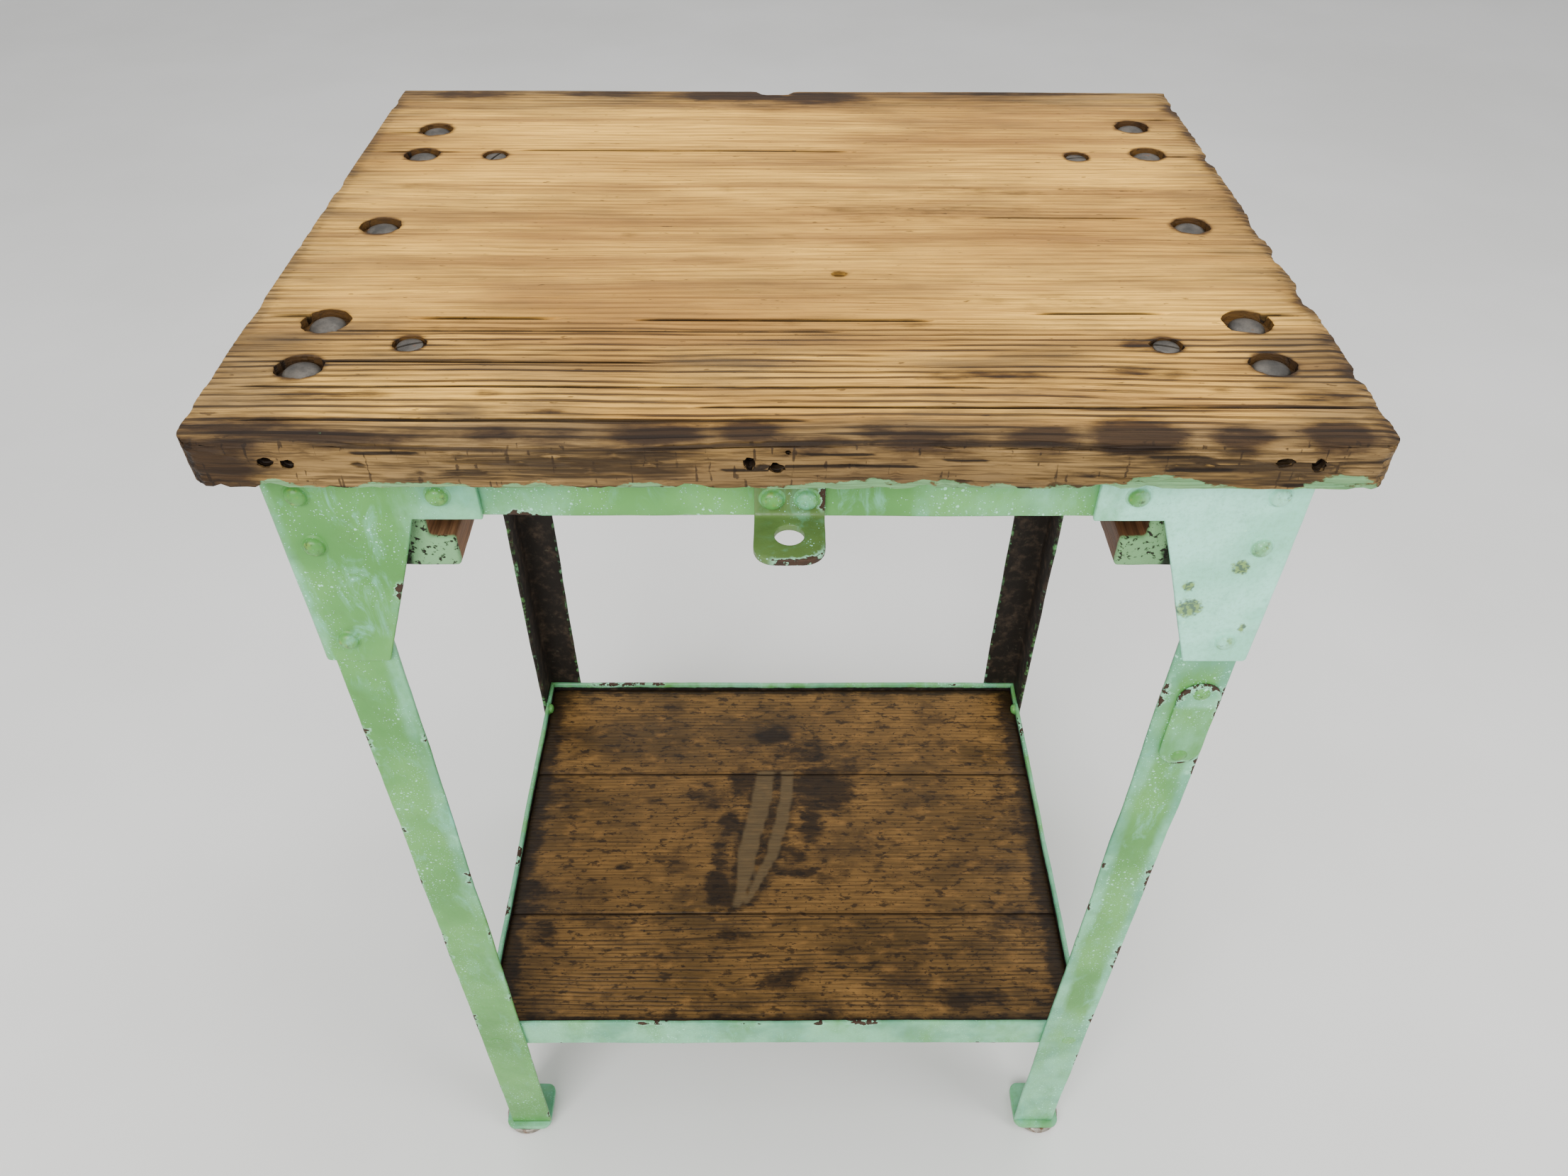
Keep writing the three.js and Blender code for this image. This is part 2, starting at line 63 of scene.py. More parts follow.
# Places that the pieces share.
leg_low, leg_high = box_of("leg_front_left")
FRAME_LEFT = leg_low.x
FRAME_RIGHT = box_of("leg_front_right")[1].x
FRAME_FRONT = leg_low.y
FRAME_BACK = box_of("leg_back_right")[1].y
FRAME_TOP = leg_high.z
TOP_OF_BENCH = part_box("top_board_middle")[1].z
UNDER_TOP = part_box("top_board_middle")[0].z
LEG_SIZE = leg_high.x - leg_low.x
WALL = 4 * MM
SEAM = 0.3 * MM
QUARTER = math.pi / 2
SHARP = math.radians(40)  # an edge that turns more than this is a crisp one
EDGE_REACH = 14 * MM  # how far from an edge its wear can get


# ---- Working at the bench: picking, editing and placing ----


def take(*pieces):
    bpy.ops.object.select_all(action="DESELECT")
    for piece in pieces:
        piece.select_set(True)
    bpy.context.view_layer.objects.active = pieces[0]


def open_mesh(piece, kind="FACE"):
    take(piece)
    bpy.ops.object.mode_set(mode="EDIT")
    bpy.ops.mesh.select_mode(type=kind)


def close_mesh():
    bpy.ops.object.mode_set(mode="OBJECT")


def choose_none(mesh):
    for part in (*mesh.faces, *mesh.edges, *mesh.verts):
        part.select = False


def flip_if_backwards(sheet):
    """Turns a sheet's faces over where the one that should face the front faces the back."""
    if any(face.normal.y > 0.9 for face in sheet.data.polygons):
        open_mesh(sheet)
        bpy.ops.mesh.select_all(action="SELECT")
        bpy.ops.mesh.flip_normals()
        close_mesh()


def choose_faces(piece, test):
    """Selects the faces whose middle and normal pass the test."""
    mesh = bmesh.from_edit_mesh(piece.data)
    mesh.normal_update()
    choose_none(mesh)
    for face in mesh.faces:
        if test(face.calc_center_median(), face.normal):
            face.select_set(True)
    bmesh.update_edit_mesh(piece.data)


def choose_edges(piece, test):
    """Selects the edges whose middle and direction pass the test."""
    mesh = bmesh.from_edit_mesh(piece.data)
    choose_none(mesh)
    for edge in mesh.edges:
        one, other = (vert.co for vert in edge.verts)
        way = other - one
        if way.length > 1e-7 and test((one + other) / 2, way.normalized()):
            edge.select_set(True)
    bmesh.update_edit_mesh(piece.data)


def apply_place(piece):
    take(piece)
    bpy.ops.object.transform_apply(location=True, rotation=True, scale=True)


def put(piece, matrix):
    """Moves a piece that was made at the origin to its place in the bench."""
    piece.matrix_world = matrix
    apply_place(piece)
    return piece


def named(name):
    piece = bpy.context.active_object
    piece.name = name
    piece.data.name = name
    return piece


def block(name, low, high):
    middle = [(a + b) / 2 for a, b in zip(low, high)]
    size = [b - a for a, b in zip(low, high)]
    bpy.ops.mesh.primitive_cube_add(size=1, location=middle, scale=size)
    piece = named(name)
    apply_place(piece)
    return piece


def upright_sheet(name, middle, width, height):
    """A flat sheet that faces the front."""
    bpy.ops.mesh.primitive_plane_add(size=1, location=middle, rotation=(QUARTER, 0, 0))
    sheet = named(name)
    sheet.scale = (width, height, 1)
    apply_place(sheet)
    return sheet


def apply_modifier(piece, kind, **settings):
    take(piece)
    modifier = piece.modifiers.new(kind.lower(), kind)
    for key, value in settings.items():
        setattr(modifier, key, value)
    bpy.ops.object.modifier_apply(modifier=modifier.name)


def duplicate(piece, name):
    take(piece)
    bpy.ops.object.duplicate(linked=False)
    return named(name)


def join(name, *pieces):
    take(*pieces)
    bpy.ops.object.join()
    return named(name)


def divide(piece, axis, *steps):
    """Cuts the piece across an axis into equal parts: the product of the steps."""
    for parts in steps:
        open_mesh(piece, "EDGE")
        choose_edges(piece, lambda middle, way: abs(way[axis]) > 0.999)
        bpy.ops.mesh.subdivide(number_cuts=parts - 1)
        close_mesh()


def slice_at(piece, point, normal):
    """Adds a line of edges where a plane crosses the piece."""
    open_mesh(piece)
    bpy.ops.mesh.select_all(action="SELECT")
    bpy.ops.mesh.bisect(plane_co=point, plane_no=normal)
    close_mesh()


def slice_evenly(piece, axis, spacing):
    places = [vert.co[axis] for vert in piece.data.vertices]
    low, high = min(places), max(places)
    count = max(1, round((high - low) / spacing))
    normal = [0, 0, 0]
    normal[axis] = 1
    open_mesh(piece)
    for step in range(1, count):
        point = [0, 0, 0]
        point[axis] = low + (high - low) * step / count + 0.013 * MM
        bpy.ops.mesh.select_all(action="SELECT")
        bpy.ops.mesh.bisect(plane_co=point, plane_no=normal)
    close_mesh()


def trim(piece, point, normal):
    """Saws off what lies past a plane, and closes the end."""
    open_mesh(piece)
    bpy.ops.mesh.select_all(action="SELECT")
    bpy.ops.mesh.bisect(plane_co=point, plane_no=normal, use_fill=True, clear_outer=True)
    close_mesh()


def face_outwards(piece):
    open_mesh(piece)
    bpy.ops.mesh.select_all(action="SELECT")
    bpy.ops.mesh.remove_doubles(threshold=0.01 * MM)
    bpy.ops.mesh.normals_make_consistent(inside=False)
    close_mesh()


def bevel_edges(piece, test, width, segments):
    open_mesh(piece, "EDGE")
    choose_edges(piece, test)
    bpy.ops.mesh.bevel(offset=width, segments=segments, affect="EDGES", clamp_overlap=True)
    close_mesh()


def soften(piece, width, segments=2):
    apply_modifier(
        piece,
        "BEVEL",
        width=width,
        segments=segments,
        limit_method="ANGLE",
        angle_limit=SHARP,
        use_clamp_overlap=True,
    )


def smooth(piece, angle=50):
    take(piece)
    bpy.ops.object.shade_smooth_by_angle(angle=math.radians(angle))


# ---- Uneven surfaces ----


def clouds(name, size, depth, colour=False):
    texture = bpy.data.textures.new(name, "CLOUDS")
    texture.noise_scale = size
    texture.noise_depth = depth
    texture.cloud_type = "COLOR" if colour else "GRAYSCALE"
    return texture


frame_wander = clouds("frame_wander", 0.09, 1, colour=True)
paint_lumps = clouds("paint_lumps", 0.011, 2)
hammer_marks = clouds("hammer_marks", 0.035, 1)


def wander(piece):
    """Bends the piece a little along with all its neighbours."""
    apply_modifier(
        piece,
        "DISPLACE",
        texture=frame_wander,
        texture_coords="LOCAL",
        direction="RGB_TO_XYZ",
        strength=1.6 * MM,
        mid_level=0.5,
    )


def lump(piece, texture, strength):
    apply_modifier(
        piece,
        "DISPLACE",
        texture=texture,
        texture_coords="LOCAL",
        direction="NORMAL",
        strength=strength,
        mid_level=0.5,
    )


def note(piece, name, values):
    """Stores one number for each vertex, for the materials to read."""
    layer = piece.data.attributes.get(name) or piece.data.attributes.new(name, "FLOAT", "POINT")
    layer.data.foreach_set("value", np.asarray(values, np.float32))


def places_of(piece):
    places = np.zeros(len(piece.data.vertices) * 3, np.float32)
    piece.data.vertices.foreach_get("co", places)
    return places.reshape(-1, 3)


def crisp_edges(piece):
    """The outside edges of the piece before they are softened, as pairs of points."""
    mesh = bmesh.new()
    mesh.from_mesh(piece.data)
    lines = []
    for edge in mesh.edges:
        if edge.is_manifold and edge.calc_face_angle_signed(0) > SHARP:
            lines.append([list(vert.co) for vert in edge.verts])
    mesh.free()
    return np.array(lines, np.float32)


def note_edges(piece, lines):
    """Stores how far each vertex is from the nearest crisp edge, up to the reach."""
    places = places_of(piece)
    nearest = np.full(len(places), EDGE_REACH, np.float32)
    for one, other in lines:
        way = other - one
        along = np.clip(((places - one) @ way) / (way @ way), 0, 1)
        gap = np.linalg.norm(places - one - along[:, None] * way, axis=1)
        nearest = np.minimum(nearest, gap)
    note(piece, "edge", nearest)


def smoothstep(low, high, value):
    share = min(1, max(0, (value - low) / (high - low)))
    return share * share * (3 - 2 * share)


def rough(x, y, z=0.0, seed=0.0):
    """Smooth noise from -1 to 1, by millimetres already divided by its grain."""
    return noise.noise(Vector((x, y, z + seed)))


# ---- Angle iron ----


def angle_bar(name, size, length, flange_tail=0.0):
    """A rolled angle, its outer corner on the Z axis and its flanges along +X and +Y.
    The flange along +Y runs on past both ends by the tail."""
    bpy.ops.mesh.primitive_plane_add(size=WALL, location=(WALL / 2, WALL / 2, 0))
    piece = named(name)
    apply_place(piece)
    grow = size - WALL
    open_mesh(piece, "EDGE")
    choose_edges(piece, lambda middle, way: middle.x > WALL * 0.9)
    bpy.ops.mesh.extrude_region_move(TRANSFORM_OT_translate={"value": (grow, 0, 0)})
    choose_edges(piece, lambda middle, way: middle.y > WALL * 0.9 and middle.x < WALL * 0.9)
    bpy.ops.mesh.extrude_region_move(TRANSFORM_OT_translate={"value": (0, grow, 0)})
    bpy.ops.mesh.select_mode(type="FACE")
    bpy.ops.mesh.select_all(action="SELECT")
    bpy.ops.mesh.extrude_region_move(TRANSFORM_OT_translate={"value": (0, 0, length)})
    close_mesh()
    face_outwards(piece)
    if flange_tail:
        for end, height in ((-1, 0), (1, length)):
            open_mesh(piece)
            choose_faces(
                piece,
                lambda middle, normal: abs(middle.z - height) < 1e-5
                and normal.z * end > 0.9
                and middle.y > WALL,
            )
            tail = {"value": (0, 0, end * flange_tail)}
            bpy.ops.mesh.extrude_region_move(TRANSFORM_OT_translate=tail)
            close_mesh()
    return piece


def round_angle(piece, size):
    """Rounds the root, the toes and the outer corner of a rolled angle that is still at the origin."""

    def along(way):
        return abs(way.z) > 0.99

    root, toe, corner = 3 * MM, 2 * MM, 1.1 * MM
    bevel_edges(
        piece,
        lambda middle, way: along(way)
        and abs(middle.x - WALL) < 1e-5
        and abs(middle.y - WALL) < 1e-5,
        root,
        3,
    )
    bevel_edges(
        piece,
        lambda middle, way: along(way)
        and (
            (abs(middle.x - size) < 1e-5 and abs(middle.y - WALL) < 1e-5)
            or (abs(middle.y - size) < 1e-5 and abs(middle.x - WALL) < 1e-5)
        ),
        toe,
        3,
    )
    bevel_edges(
        piece,
        lambda middle, way: along(way)
        and (
            (middle.x < 1e-5 and middle.y < 1e-5)
            or (abs(middle.x - size) < 1e-5 and middle.y < 1e-5)
            or (abs(middle.y - size) < 1e-5 and middle.x < 1e-5)
        ),
        corner,
        2,
    )


def settle(piece, slot, material, *nodes):
    """Gives a finished piece its body, its finish and the CAD nodes that it stands for."""
    piece.data.materials.clear()
    piece.data.materials.append(material)
    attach(piece, "root")
    if nodes:
        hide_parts(*nodes)
    return piece


# ---- Where corners and sides are ----

MIDDLE_Y = (FRAME_FRONT + FRAME_BACK) / 2
CORNERS = {
    "front_left": (FRAME_LEFT, FRAME_FRONT, 0),
    "front_right": (FRAME_RIGHT, FRAME_FRONT, 1),
    "back_right": (FRAME_RIGHT, FRAME_BACK, 2),
    "back_left": (FRAME_LEFT, FRAME_BACK, 3),
}
SIDES = {
    "front": (0, FRAME_FRONT, 0),
    "right": (FRAME_RIGHT, MIDDLE_Y, 1),
    "back": (0, FRAME_BACK, 2),
    "left": (FRAME_LEFT, MIDDLE_Y, 3),
}


def turned_place(x, y, turn, height=0.0):
    return Matrix.Translation((x, y, height)) @ Matrix.Rotation(turn * QUARTER, 4, "Z")


def basis(along_x, along_y, along_z):
    return Matrix((along_x, along_y, along_z)).transposed().to_4x4()


HUNG = basis((0, 0, -1), (0, 1, 0), (1, 0, 0))  # flanges down and inwards, bar along X
LAID = basis((0, 1, 0), (0, 0, 1), (1, 0, 0))  # flanges inwards and up, bar along X
FACING_FRONT = Matrix.Rotation(QUARTER, 4, "X")  # what pointed up points to the front
FACING_LEFT = Matrix.Rotation(-QUARTER, 4, "Y")


def hollow_share(place, normal, size, toes):
    near = WALL + 4 * MM
    if max(place.x, place.y) > size - 2.5 * MM and max(normal.x, normal.y) > 0.3:
        return toes
    on_one = normal.y > 0.3 and place.y < near and place.x < size - 3 * MM
    on_other = normal.x > 0.3 and place.x < near and place.y < size - 3 * MM
    return 1.0 if on_one or on_other else 0.0


def note_inside(piece, size, toes=0.0):
    """Notes 1 on the hollow side of an angle that is still at the origin, and a share on its toes."""
    points = piece.data.vertices
    note(piece, "inside", [hollow_share(vert.co, vert.normal, size, toes) for vert in points])


# Where the pale mint coat has replaced or covered the green one, from 0 to 1. On the left gussets it
# also paints a highlight towards their outer left edge.


def mint_on_legs(place):
    across = abs(abs(place.x) - (FRAME_RIGHT - LEG_SIZE / 2)) / (LEG_SIZE / 2)
    if place.y > 0:
        return 0.36
    if place.x > 0:
        rim = smoothstep(0.3, 0.85, across)
        foot = 1 - smoothstep(0.2, 0.3, place.z)
        head = smoothstep(0.68, 0.74, place.z)
        return max(0.1 + 0.66 * rim, 0.6 * foot, 0.85 * head)
    inner_rim = smoothstep(-0.262, -0.25, place.x) * smoothstep(0.2, 0.5, place.z)
    return 0.12 + 0.42 * inner_rim


def mint_and_highlight_on_gussets(place):
    if place.x > 0:
        return 0.97 - 0.4 * smoothstep(0.2, 0.18, place.x)
    # The left gussets are paler towards their left edge and over their left wing: a painted highlight,
    # laid on as extra mint.
    outer = 1 - smoothstep(-0.286, -0.276, place.x)
    arm = smoothstep(-0.235, -0.19, place.x)
    return 0.14 + 0.46 * arm + 0.3 * outer


def mint_on_top_rails(place):
    if place.y > -0.1:
        return 0.35
    left = 1 - smoothstep(-0.17, -0.08, place.x)
    right = smoothstep(0.05, 0.17, place.x)
    return 0.2 + 0.38 * left + 0.3 * right


def mint_on_tray(place):
    return 0.7 if place.y < 0 else 0.5


def mint_on_badge(place):
    return 0.3 if place.z < 0.675 else 0.62


# ---- The frame ----

# Small rubbed-through marks on the front of the right gusset: X, Z and half size.
SCARS = [
    (0.262, 0.801, 0.0055), (0.2395, 0.768, 0.0075), (0.2345, 0.786, 0.004),
    (0.276, 0.752, 0.003),
]


def scarred(place):
    if place.y > FRAME_FRONT:
        return 0.0
    share = 0.0
    for x, z, half in SCARS:
        share = max(share, 1 - smoothstep(0.2, 1.8, math.hypot(place.x - x, place.z - z) / half))
    return share


def weather_steel(piece, mint, lumps=0.35 * MM):
    """Notes the mint coat, then makes the painted surface lumpy and a little bent."""
    note(piece, "mint", [mint(vert.co) for vert in piece.data.vertices])
    lump(piece, paint_lumps, lumps)
    lump(piece, hammer_marks, 0.5 * MM)
    wander(piece)
    smooth(piece)


def make_legs(paint):
    length = leg_high.z - leg_low.z
    blank = angle_bar("leg_blank", LEG_SIZE, length)
    lines = crisp_edges(blank)
    round_angle(blank, LEG_SIZE)
    soften(blank, 0.4 * MM, 1)
    divide(blank, 0, 6)
    divide(blank, 1, 6)
    divide(blank, 2, 12, 14)
    note_edges(blank, lines)
    for corner, (x, y, turn) in CORNERS.items():
        leg = duplicate(blank, f"angle_leg_{corner}")
        note_inside(leg, LEG_SIZE, 0.55 if y > 0 else 0.0)
        put(leg, turned_place(x, y, turn, leg_low.z))
        weather_steel(leg, mint_on_legs)
        settle(leg, "green_paint", paint, f"leg_{corner}")
    bpy.data.objects.remove(blank)


def make_top_rails(paint):
    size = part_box("top_rail_front")[1].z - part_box("top_rail_front")[0].z
    for side, (x, y, turn) in SIDES.items():
        low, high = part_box(f"top_rail_{side}")
        across = side in ("left", "right")
        reach = (high.y - low.y) / 2 if across else (high.x - low.x) / 2
        upright_reach = (FRAME_BACK - FRAME_FRONT) / 2 - LEG_SIZE - SEAM if across else reach
        rail = angle_bar(f"angle_rail_{side}", size, 2 * upright_reach, reach - upright_reach)
        lines = crisp_edges(rail)
        round_angle(rail, size)
        divide(rail, 0, 4)
        divide(rail, 1, 4)
        divide(rail, 2, 8, 8)
        note_edges(rail, lines)
        note_inside(rail, size)
        along = Matrix.Translation((-upright_reach, 0, 0)) @ HUNG
        put(rail, turned_place(x, y, turn, FRAME_TOP) @ along)
        weather_steel(rail, mint_on_top_rails)
        settle(rail, "green_paint", paint, f"top_rail_{side}")


def make_tray_rails(paint):
    low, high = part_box("tray_rail_front")
    size = high.z - low.z
    inset = low.y - FRAME_FRONT
    for side, (x, y, turn) in SIDES.items():
        span = FRAME_BACK - FRAME_FRONT if side in ("left", "right") else FRAME_RIGHT - FRAME_LEFT
        length = span - 2 * inset
        rail = angle_bar(f"tray_angle_{side}", size, length)
        trim(rail, (0, 0, length - SEAM / 2), (1, 0, 1))
        trim(rail, (0, 0, SEAM / 2), (1, 0, -1))
        lines = crisp_edges(rail)
        round_angle(rail, size)
        divide(rail, 0, 5)
        divide(rail, 1, 5)
        divide(rail, 2, 10, 9)
        note_edges(rail, lines)
        note_inside(rail, size)
        along = Matrix.Translation((-length / 2, inset, 0)) @ LAID
        put(rail, turned_place(x, y, turn, low.z) @ along)
        weather_steel(rail, mint_on_tray, 0.5 * MM)
        settle(rail, "green_paint", paint, f"tray_rail_{side}")


# ---- Gussets ----

GUSSET_ARM = 114 * MM
GUSSET_DROP = 148 * MM
GUSSET_THROAT = 74.5 * MM
GUSSET_SKIRT = 36.5 * MM
ARM_DROP = 35 * MM
PLATE = 4 * MM
SKIN = PLATE + SEAM  # of a gusset's outer face outside the leg's


def gusset_blank():
    """A plate bent round the corner at the origin, its top at Z 0, cut away below both arms."""
    middle = (GUSSET_ARM / 2, -SKIN, -GUSSET_DROP / 2)
    plate = upright_sheet("gusset_blank", middle, GUSSET_ARM, GUSSET_DROP)
    open_mesh(plate, "EDGE")
    choose_edges(plate, lambda middle, way: middle.x < 1e-5)
    bpy.ops.mesh.spin(steps=6, angle=QUARTER, center=(0, 0, 0), axis=(0, 0, 1))
    bpy.ops.mesh.extrude_region_move(TRANSFORM_OT_translate={"value": (0, GUSSET_ARM, 0)})
    close_mesh()
    throat = Vector((GUSSET_THROAT, 0, -ARM_DROP))
    side_throat = Vector((0, GUSSET_THROAT, -ARM_DROP))
    rise = GUSSET_DROP - ARM_DROP
    run = GUSSET_THROAT - GUSSET_SKIRT
    slant = Vector((rise, 0, -run))
    side_slant = Vector((0, rise, -run))
    slice_at(plate, throat, (0, 0, 1))
    slice_at(plate, throat, slant)
    slice_at(plate, side_throat, side_slant)
    open_mesh(plate)
    choose_faces(
        plate,
        lambda middle, normal: middle.z < -ARM_DROP
        and ((middle - throat).dot(slant) > 0 or (middle - side_throat).dot(side_slant) > 0),
    )
    bpy.ops.mesh.delete(type="FACE")
    close_mesh()
    face_outwards(plate)
    flip_if_backwards(plate)
    apply_modifier(plate, "SOLIDIFY", thickness=PLATE, offset=-1)
    return plate


def make_gussets(paint, mint_paint):
    blank = gusset_blank()
    lines = crisp_edges(blank)
    soften(blank, 0.9 * MM, 3)
    for axis in (0, 1, 2):
        slice_evenly(blank, axis, 4 * MM)
    note_edges(blank, lines)
    for corner, (x, y, turn) in CORNERS.items():
        plate = duplicate(blank, f"gusset_plate_{corner}")
        put(plate, turned_place(x, y, turn, FRAME_TOP))
        note(plate, "scar", [scarred(vert.co) for vert in plate.data.vertices])
        weather_steel(plate, mint_and_highlight_on_gussets, 0.3 * MM)
        mint = corner == "front_right"
        finish = mint_paint if mint else paint
        settle(plate, "mint_paint" if mint else "green_paint", finish, f"gusset_{corner}")
    bpy.data.objects.remove(blank)


# ---- Round pieces ----


def turned(name, rings, sides=32):
    """A round piece about Z, from rings of radius and height in millimetres, lowest first."""
    radius, height = rings[0]
    bpy.ops.mesh.primitive_circle_add(
        vertices=sides, radius=radius * MM, fill_type="NGON", location=(0, 0, height * MM)
    )
    piece = named(name)
    apply_place(piece)
    open_mesh(piece)
    bpy.ops.mesh.select_all(action="SELECT")
    for next_radius, next_height in rings[1:]:
        rise = (next_height - height) * MM
        bpy.ops.mesh.extrude_region_move(TRANSFORM_OT_translate={"value": (0, 0, rise)})
        share = next_radius / radius
        bpy.ops.transform.resize(value=(share, share, 1), center_override=(0, 0, 0))
        radius, height = next_radius, next_height
    close_mesh()
    face_outwards(piece)
    return piece


DOMED_RIVET = [
    (0.6, -12.0), (2.4, -11.8), (4.3, -11.0), (5.4, -9.8), (5.6, -8.7), (3.0, -8.6), (3.0, -0.3),
    (7.6, -0.3), (7.5, 0.1), (6.9, 0.3), (6.3, 0.7), (6.1, 1.6), (5.6, 2.8), (4.5, 3.8),
    (2.8, 4.5), (1.0, 4.75), (0.3, 4.75),
]
SHANK_RINGS = 7  # the rings of a domed rivet that are below its head
LOW_RIVET = [
    (0.6, -8.2), (2.4, -8.0), (4.0, -7.4), (4.4, -6.3), (2.0, -6.2), (2.0, -0.2), (5.6, -0.2),
    (5.5, 0.1), (4.8, 0.3), (4.4, 0.9), (3.6, 1.5), (2.2, 1.9), (0.8, 2.0), (0.3, 2.0),
]
FLUSH_RIVET = [
    (0.6, -8.6), (3.0, -8.4), (4.6, -7.6), (5.0, -4.2), (3.0, -4.1), (3.0, -0.3), (6.6, -0.3),
    (6.5, 0.0), (6.0, 0.25), (5.2, 0.35), (4.6, 0.1), (3.4, 0.2), (1.6, 0.5), (0.3, 0.55),
]
CARRIAGE_BOLT = [
    (3.4, -38.6), (4.0, -38.0), (4.0, -0.2), (10.1, -0.2), (10.5, 0.3), (10.5, 0.9), (10.1, 1.7),
    (9.1, 2.6), (7.4, 3.4), (5.0, 4.0), (2.5, 4.35), (0.4, 4.4),
]
WOOD_SCREW = [
    (0.4, -60.0), (3.0, -54.0), (3.0, -6.0), (7.1, -1.6), (7.5, -1.2), (7.5, -0.4), (7.1, 0.0),
    (5.0, 0.25), (2.5, 0.4), (0.4, 0.45),
]
GLIDE = [
    (17.0, 0.0), (20.5, 0.3), (22.2, 1.4), (22.9, 3.0), (23.0, 4.6), (22.7, 6.2), (21.8, 7.3),
    (20.6, 7.9), (18.0, 7.6), (0.5, 7.6),
]

GUSSET_RIVETS = {
    "upper": (15.5, 17.0),
    "arm": (92.5, 17.0),
    "middle": (15.5, 53.0),
    "lower": (15.5, 129.0),
}


def rivet(blank, name, place, mint, scale=1.0):
    """One rivet from its blank, its seat at the place. The coat is rubbed thin on its head."""
    made = duplicate(blank, name)
    bare = [0.3 * smoothstep(0.2, 2.5, vert.co.z / MM) for vert in made.data.vertices]
    note(made, "scar", [share * 1.3 for share in bare])
    put(made, place @ Matrix.Scale(scale, 4))
    mints = [mint(vert.co) - 0.2 for vert in made.data.vertices]
    note(made, "mint", [most - share for most, share in zip(mints, bare)])
    note(made, "edge", [EDGE_REACH] * len(made.data.vertices))
    lump(made, paint_lumps, 0.35 * MM)
    wander(made)
    smooth(made, 60)
    return made


def wing_place(corner, wing, along, out, height):
    """The place of a fastener on the wing of a corner that runs along the bench's front or its
    depth in the corner's own frame, pointing away from the frame."""
    x, y, turn = CORNERS[corner]
    if wing == 0:
        seat = Matrix.Translation((along, -out, 0)) @ FACING_FRONT
    else:
        seat = Matrix.Translation((-out, along, 0)) @ FACING_LEFT
    return turned_place(x, y, turn, height) @ seat


def make_wing_rivets(blank, corner, wing, paint):
    """The four rivets of a gusset's wing at the side or back, as one piece."""
    heads = []
    for place, (along, drop) in GUSSET_RIVETS.items():
        spot = wing_place(corner, wing, along * MM, SKIN, FRAME_TOP - drop * MM)
        heads.append(rivet(blank, f"rivet_{corner}_{wing}_{place}", spot, mint_and_highlight_on_gussets))
    wing_name = "first" if wing == 0 else "second"
    settle(join(f"wing_rivets_{corner}_{wing_name}", *heads), "green_paint", paint)


def make_front_rivets(blank, side, wing, slot, finish):
    """The four rivets of a gusset's front wing, one piece each."""
    for place, (along, drop) in GUSSET_RIVETS.items():
        spot = wing_place(f"front_{side}", wing, along * MM, SKIN, FRAME_TOP - drop * MM)
        head = rivet(blank, f"rivet_{side}_{place}", spot, mint_and_highlight_on_gussets)
        settle(head, slot, finish, f"gusset_rivet_{side}_{place}")


def make_gusset_rivets(paint, mint_paint):
    blank = turned("rivet_blank", DOMED_RIVET, 28)
    make_front_rivets(blank, "left", 0, "green_paint", paint)
    make_front_rivets(blank, "right", 1, "mint_paint", mint_paint)
    for corner in CORNERS:
        for wing in (0, 1):
            if (corner, wing) not in (("front_left", 0), ("front_right", 1)):
                make_wing_rivets(blank, corner, wing, paint)
    for side in ("left", "right"):
        x, _, z = middle_of(f"hasp_rivet_{side}")
        spot = Matrix.Translation((x, FRAME_FRONT - SKIN, z))
        head = rivet(blank, f"hasp_head_{side}", spot @ FACING_FRONT, mint_on_top_rails)
        settle(head, "green_paint", paint, f"hasp_rivet_{side}")
    bpy.data.objects.remove(blank)


def make_small_rivets(paint):
    blank = turned("small_rivet_blank", LOW_RIVET, 24)
    for end in ("lower", "upper"):
        x, _, z = middle_of(f"badge_rivet_{end}")
        spot = Matrix.Translation((x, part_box("badge_plate")[0].y, z))
        head = rivet(blank, f"badge_head_{end}", spot @ FACING_FRONT, mint_on_legs)
        settle(head, "green_paint", paint, f"badge_rivet_{end}")
    bpy.data.objects.remove(blank)


TRAY_RIVET_INSET = 14 * MM
TRAY_RIVET_HEIGHT = 196 * MM
LUG_ROWS = (-171 * MM, 178 * MM)
LUG_HEIGHT = 217 * MM


def make_tray_rivets(paint):
    """The tray is riveted through both flanges of each leg, and low lugs show inside its lips."""
    blank = turned("flush_rivet_blank", FLUSH_RIVET, 24)
    for corner in CORNERS:
        heads = []
        for wing in (0, 1):
            spot = wing_place(corner, wing, TRAY_RIVET_INSET, 0, TRAY_RIVET_HEIGHT)
            heads.append(rivet(blank, f"flush_{corner}_{wing}", spot, mint_on_legs))
        settle(join(f"tray_rivets_{corner}", *heads), "green_paint", paint)
    bpy.data.objects.remove(blank)
    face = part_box("tray_rail_left")[0].x + WALL
    blank = turned("lug_blank", DOMED_RIVET[SHANK_RINGS:], 28)
    lugs = []
    for side in (-1, 1):
        for y in LUG_ROWS:
            facing = Matrix.Rotation(-side * QUARTER, 4, "Y")
            spot = Matrix.Translation((side * abs(face), y, LUG_HEIGHT)) @ facing
            lugs.append(rivet(blank, f"lug_{side}_{y}", spot, mint_on_tray, 0.92))
    settle(join("tray_lug_rivets", *lugs), "green_paint", paint)
    bpy.data.objects.remove(blank)


BOLT_HEAD = 4.5 * MM
NUT_RADIUS = 7.5 * MM
NUT_HEIGHT = 6.5 * MM
NUT_DROP = 32.4 * MM  # of the nut's middle below the bolt's seat


def bolt_with_nut():
    blank = turned("bolt_blank", CARRIAGE_BOLT, 36)
    bpy.ops.mesh.primitive_cylinder_add(
        vertices=6, radius=NUT_RADIUS, depth=NUT_HEIGHT, location=(0, 0, -NUT_DROP)
    )
    nut = named("nut_blank")
    apply_place(nut)
    soften(nut, 0.8 * MM, 2)
    return join("bolt_blank", blank, nut)


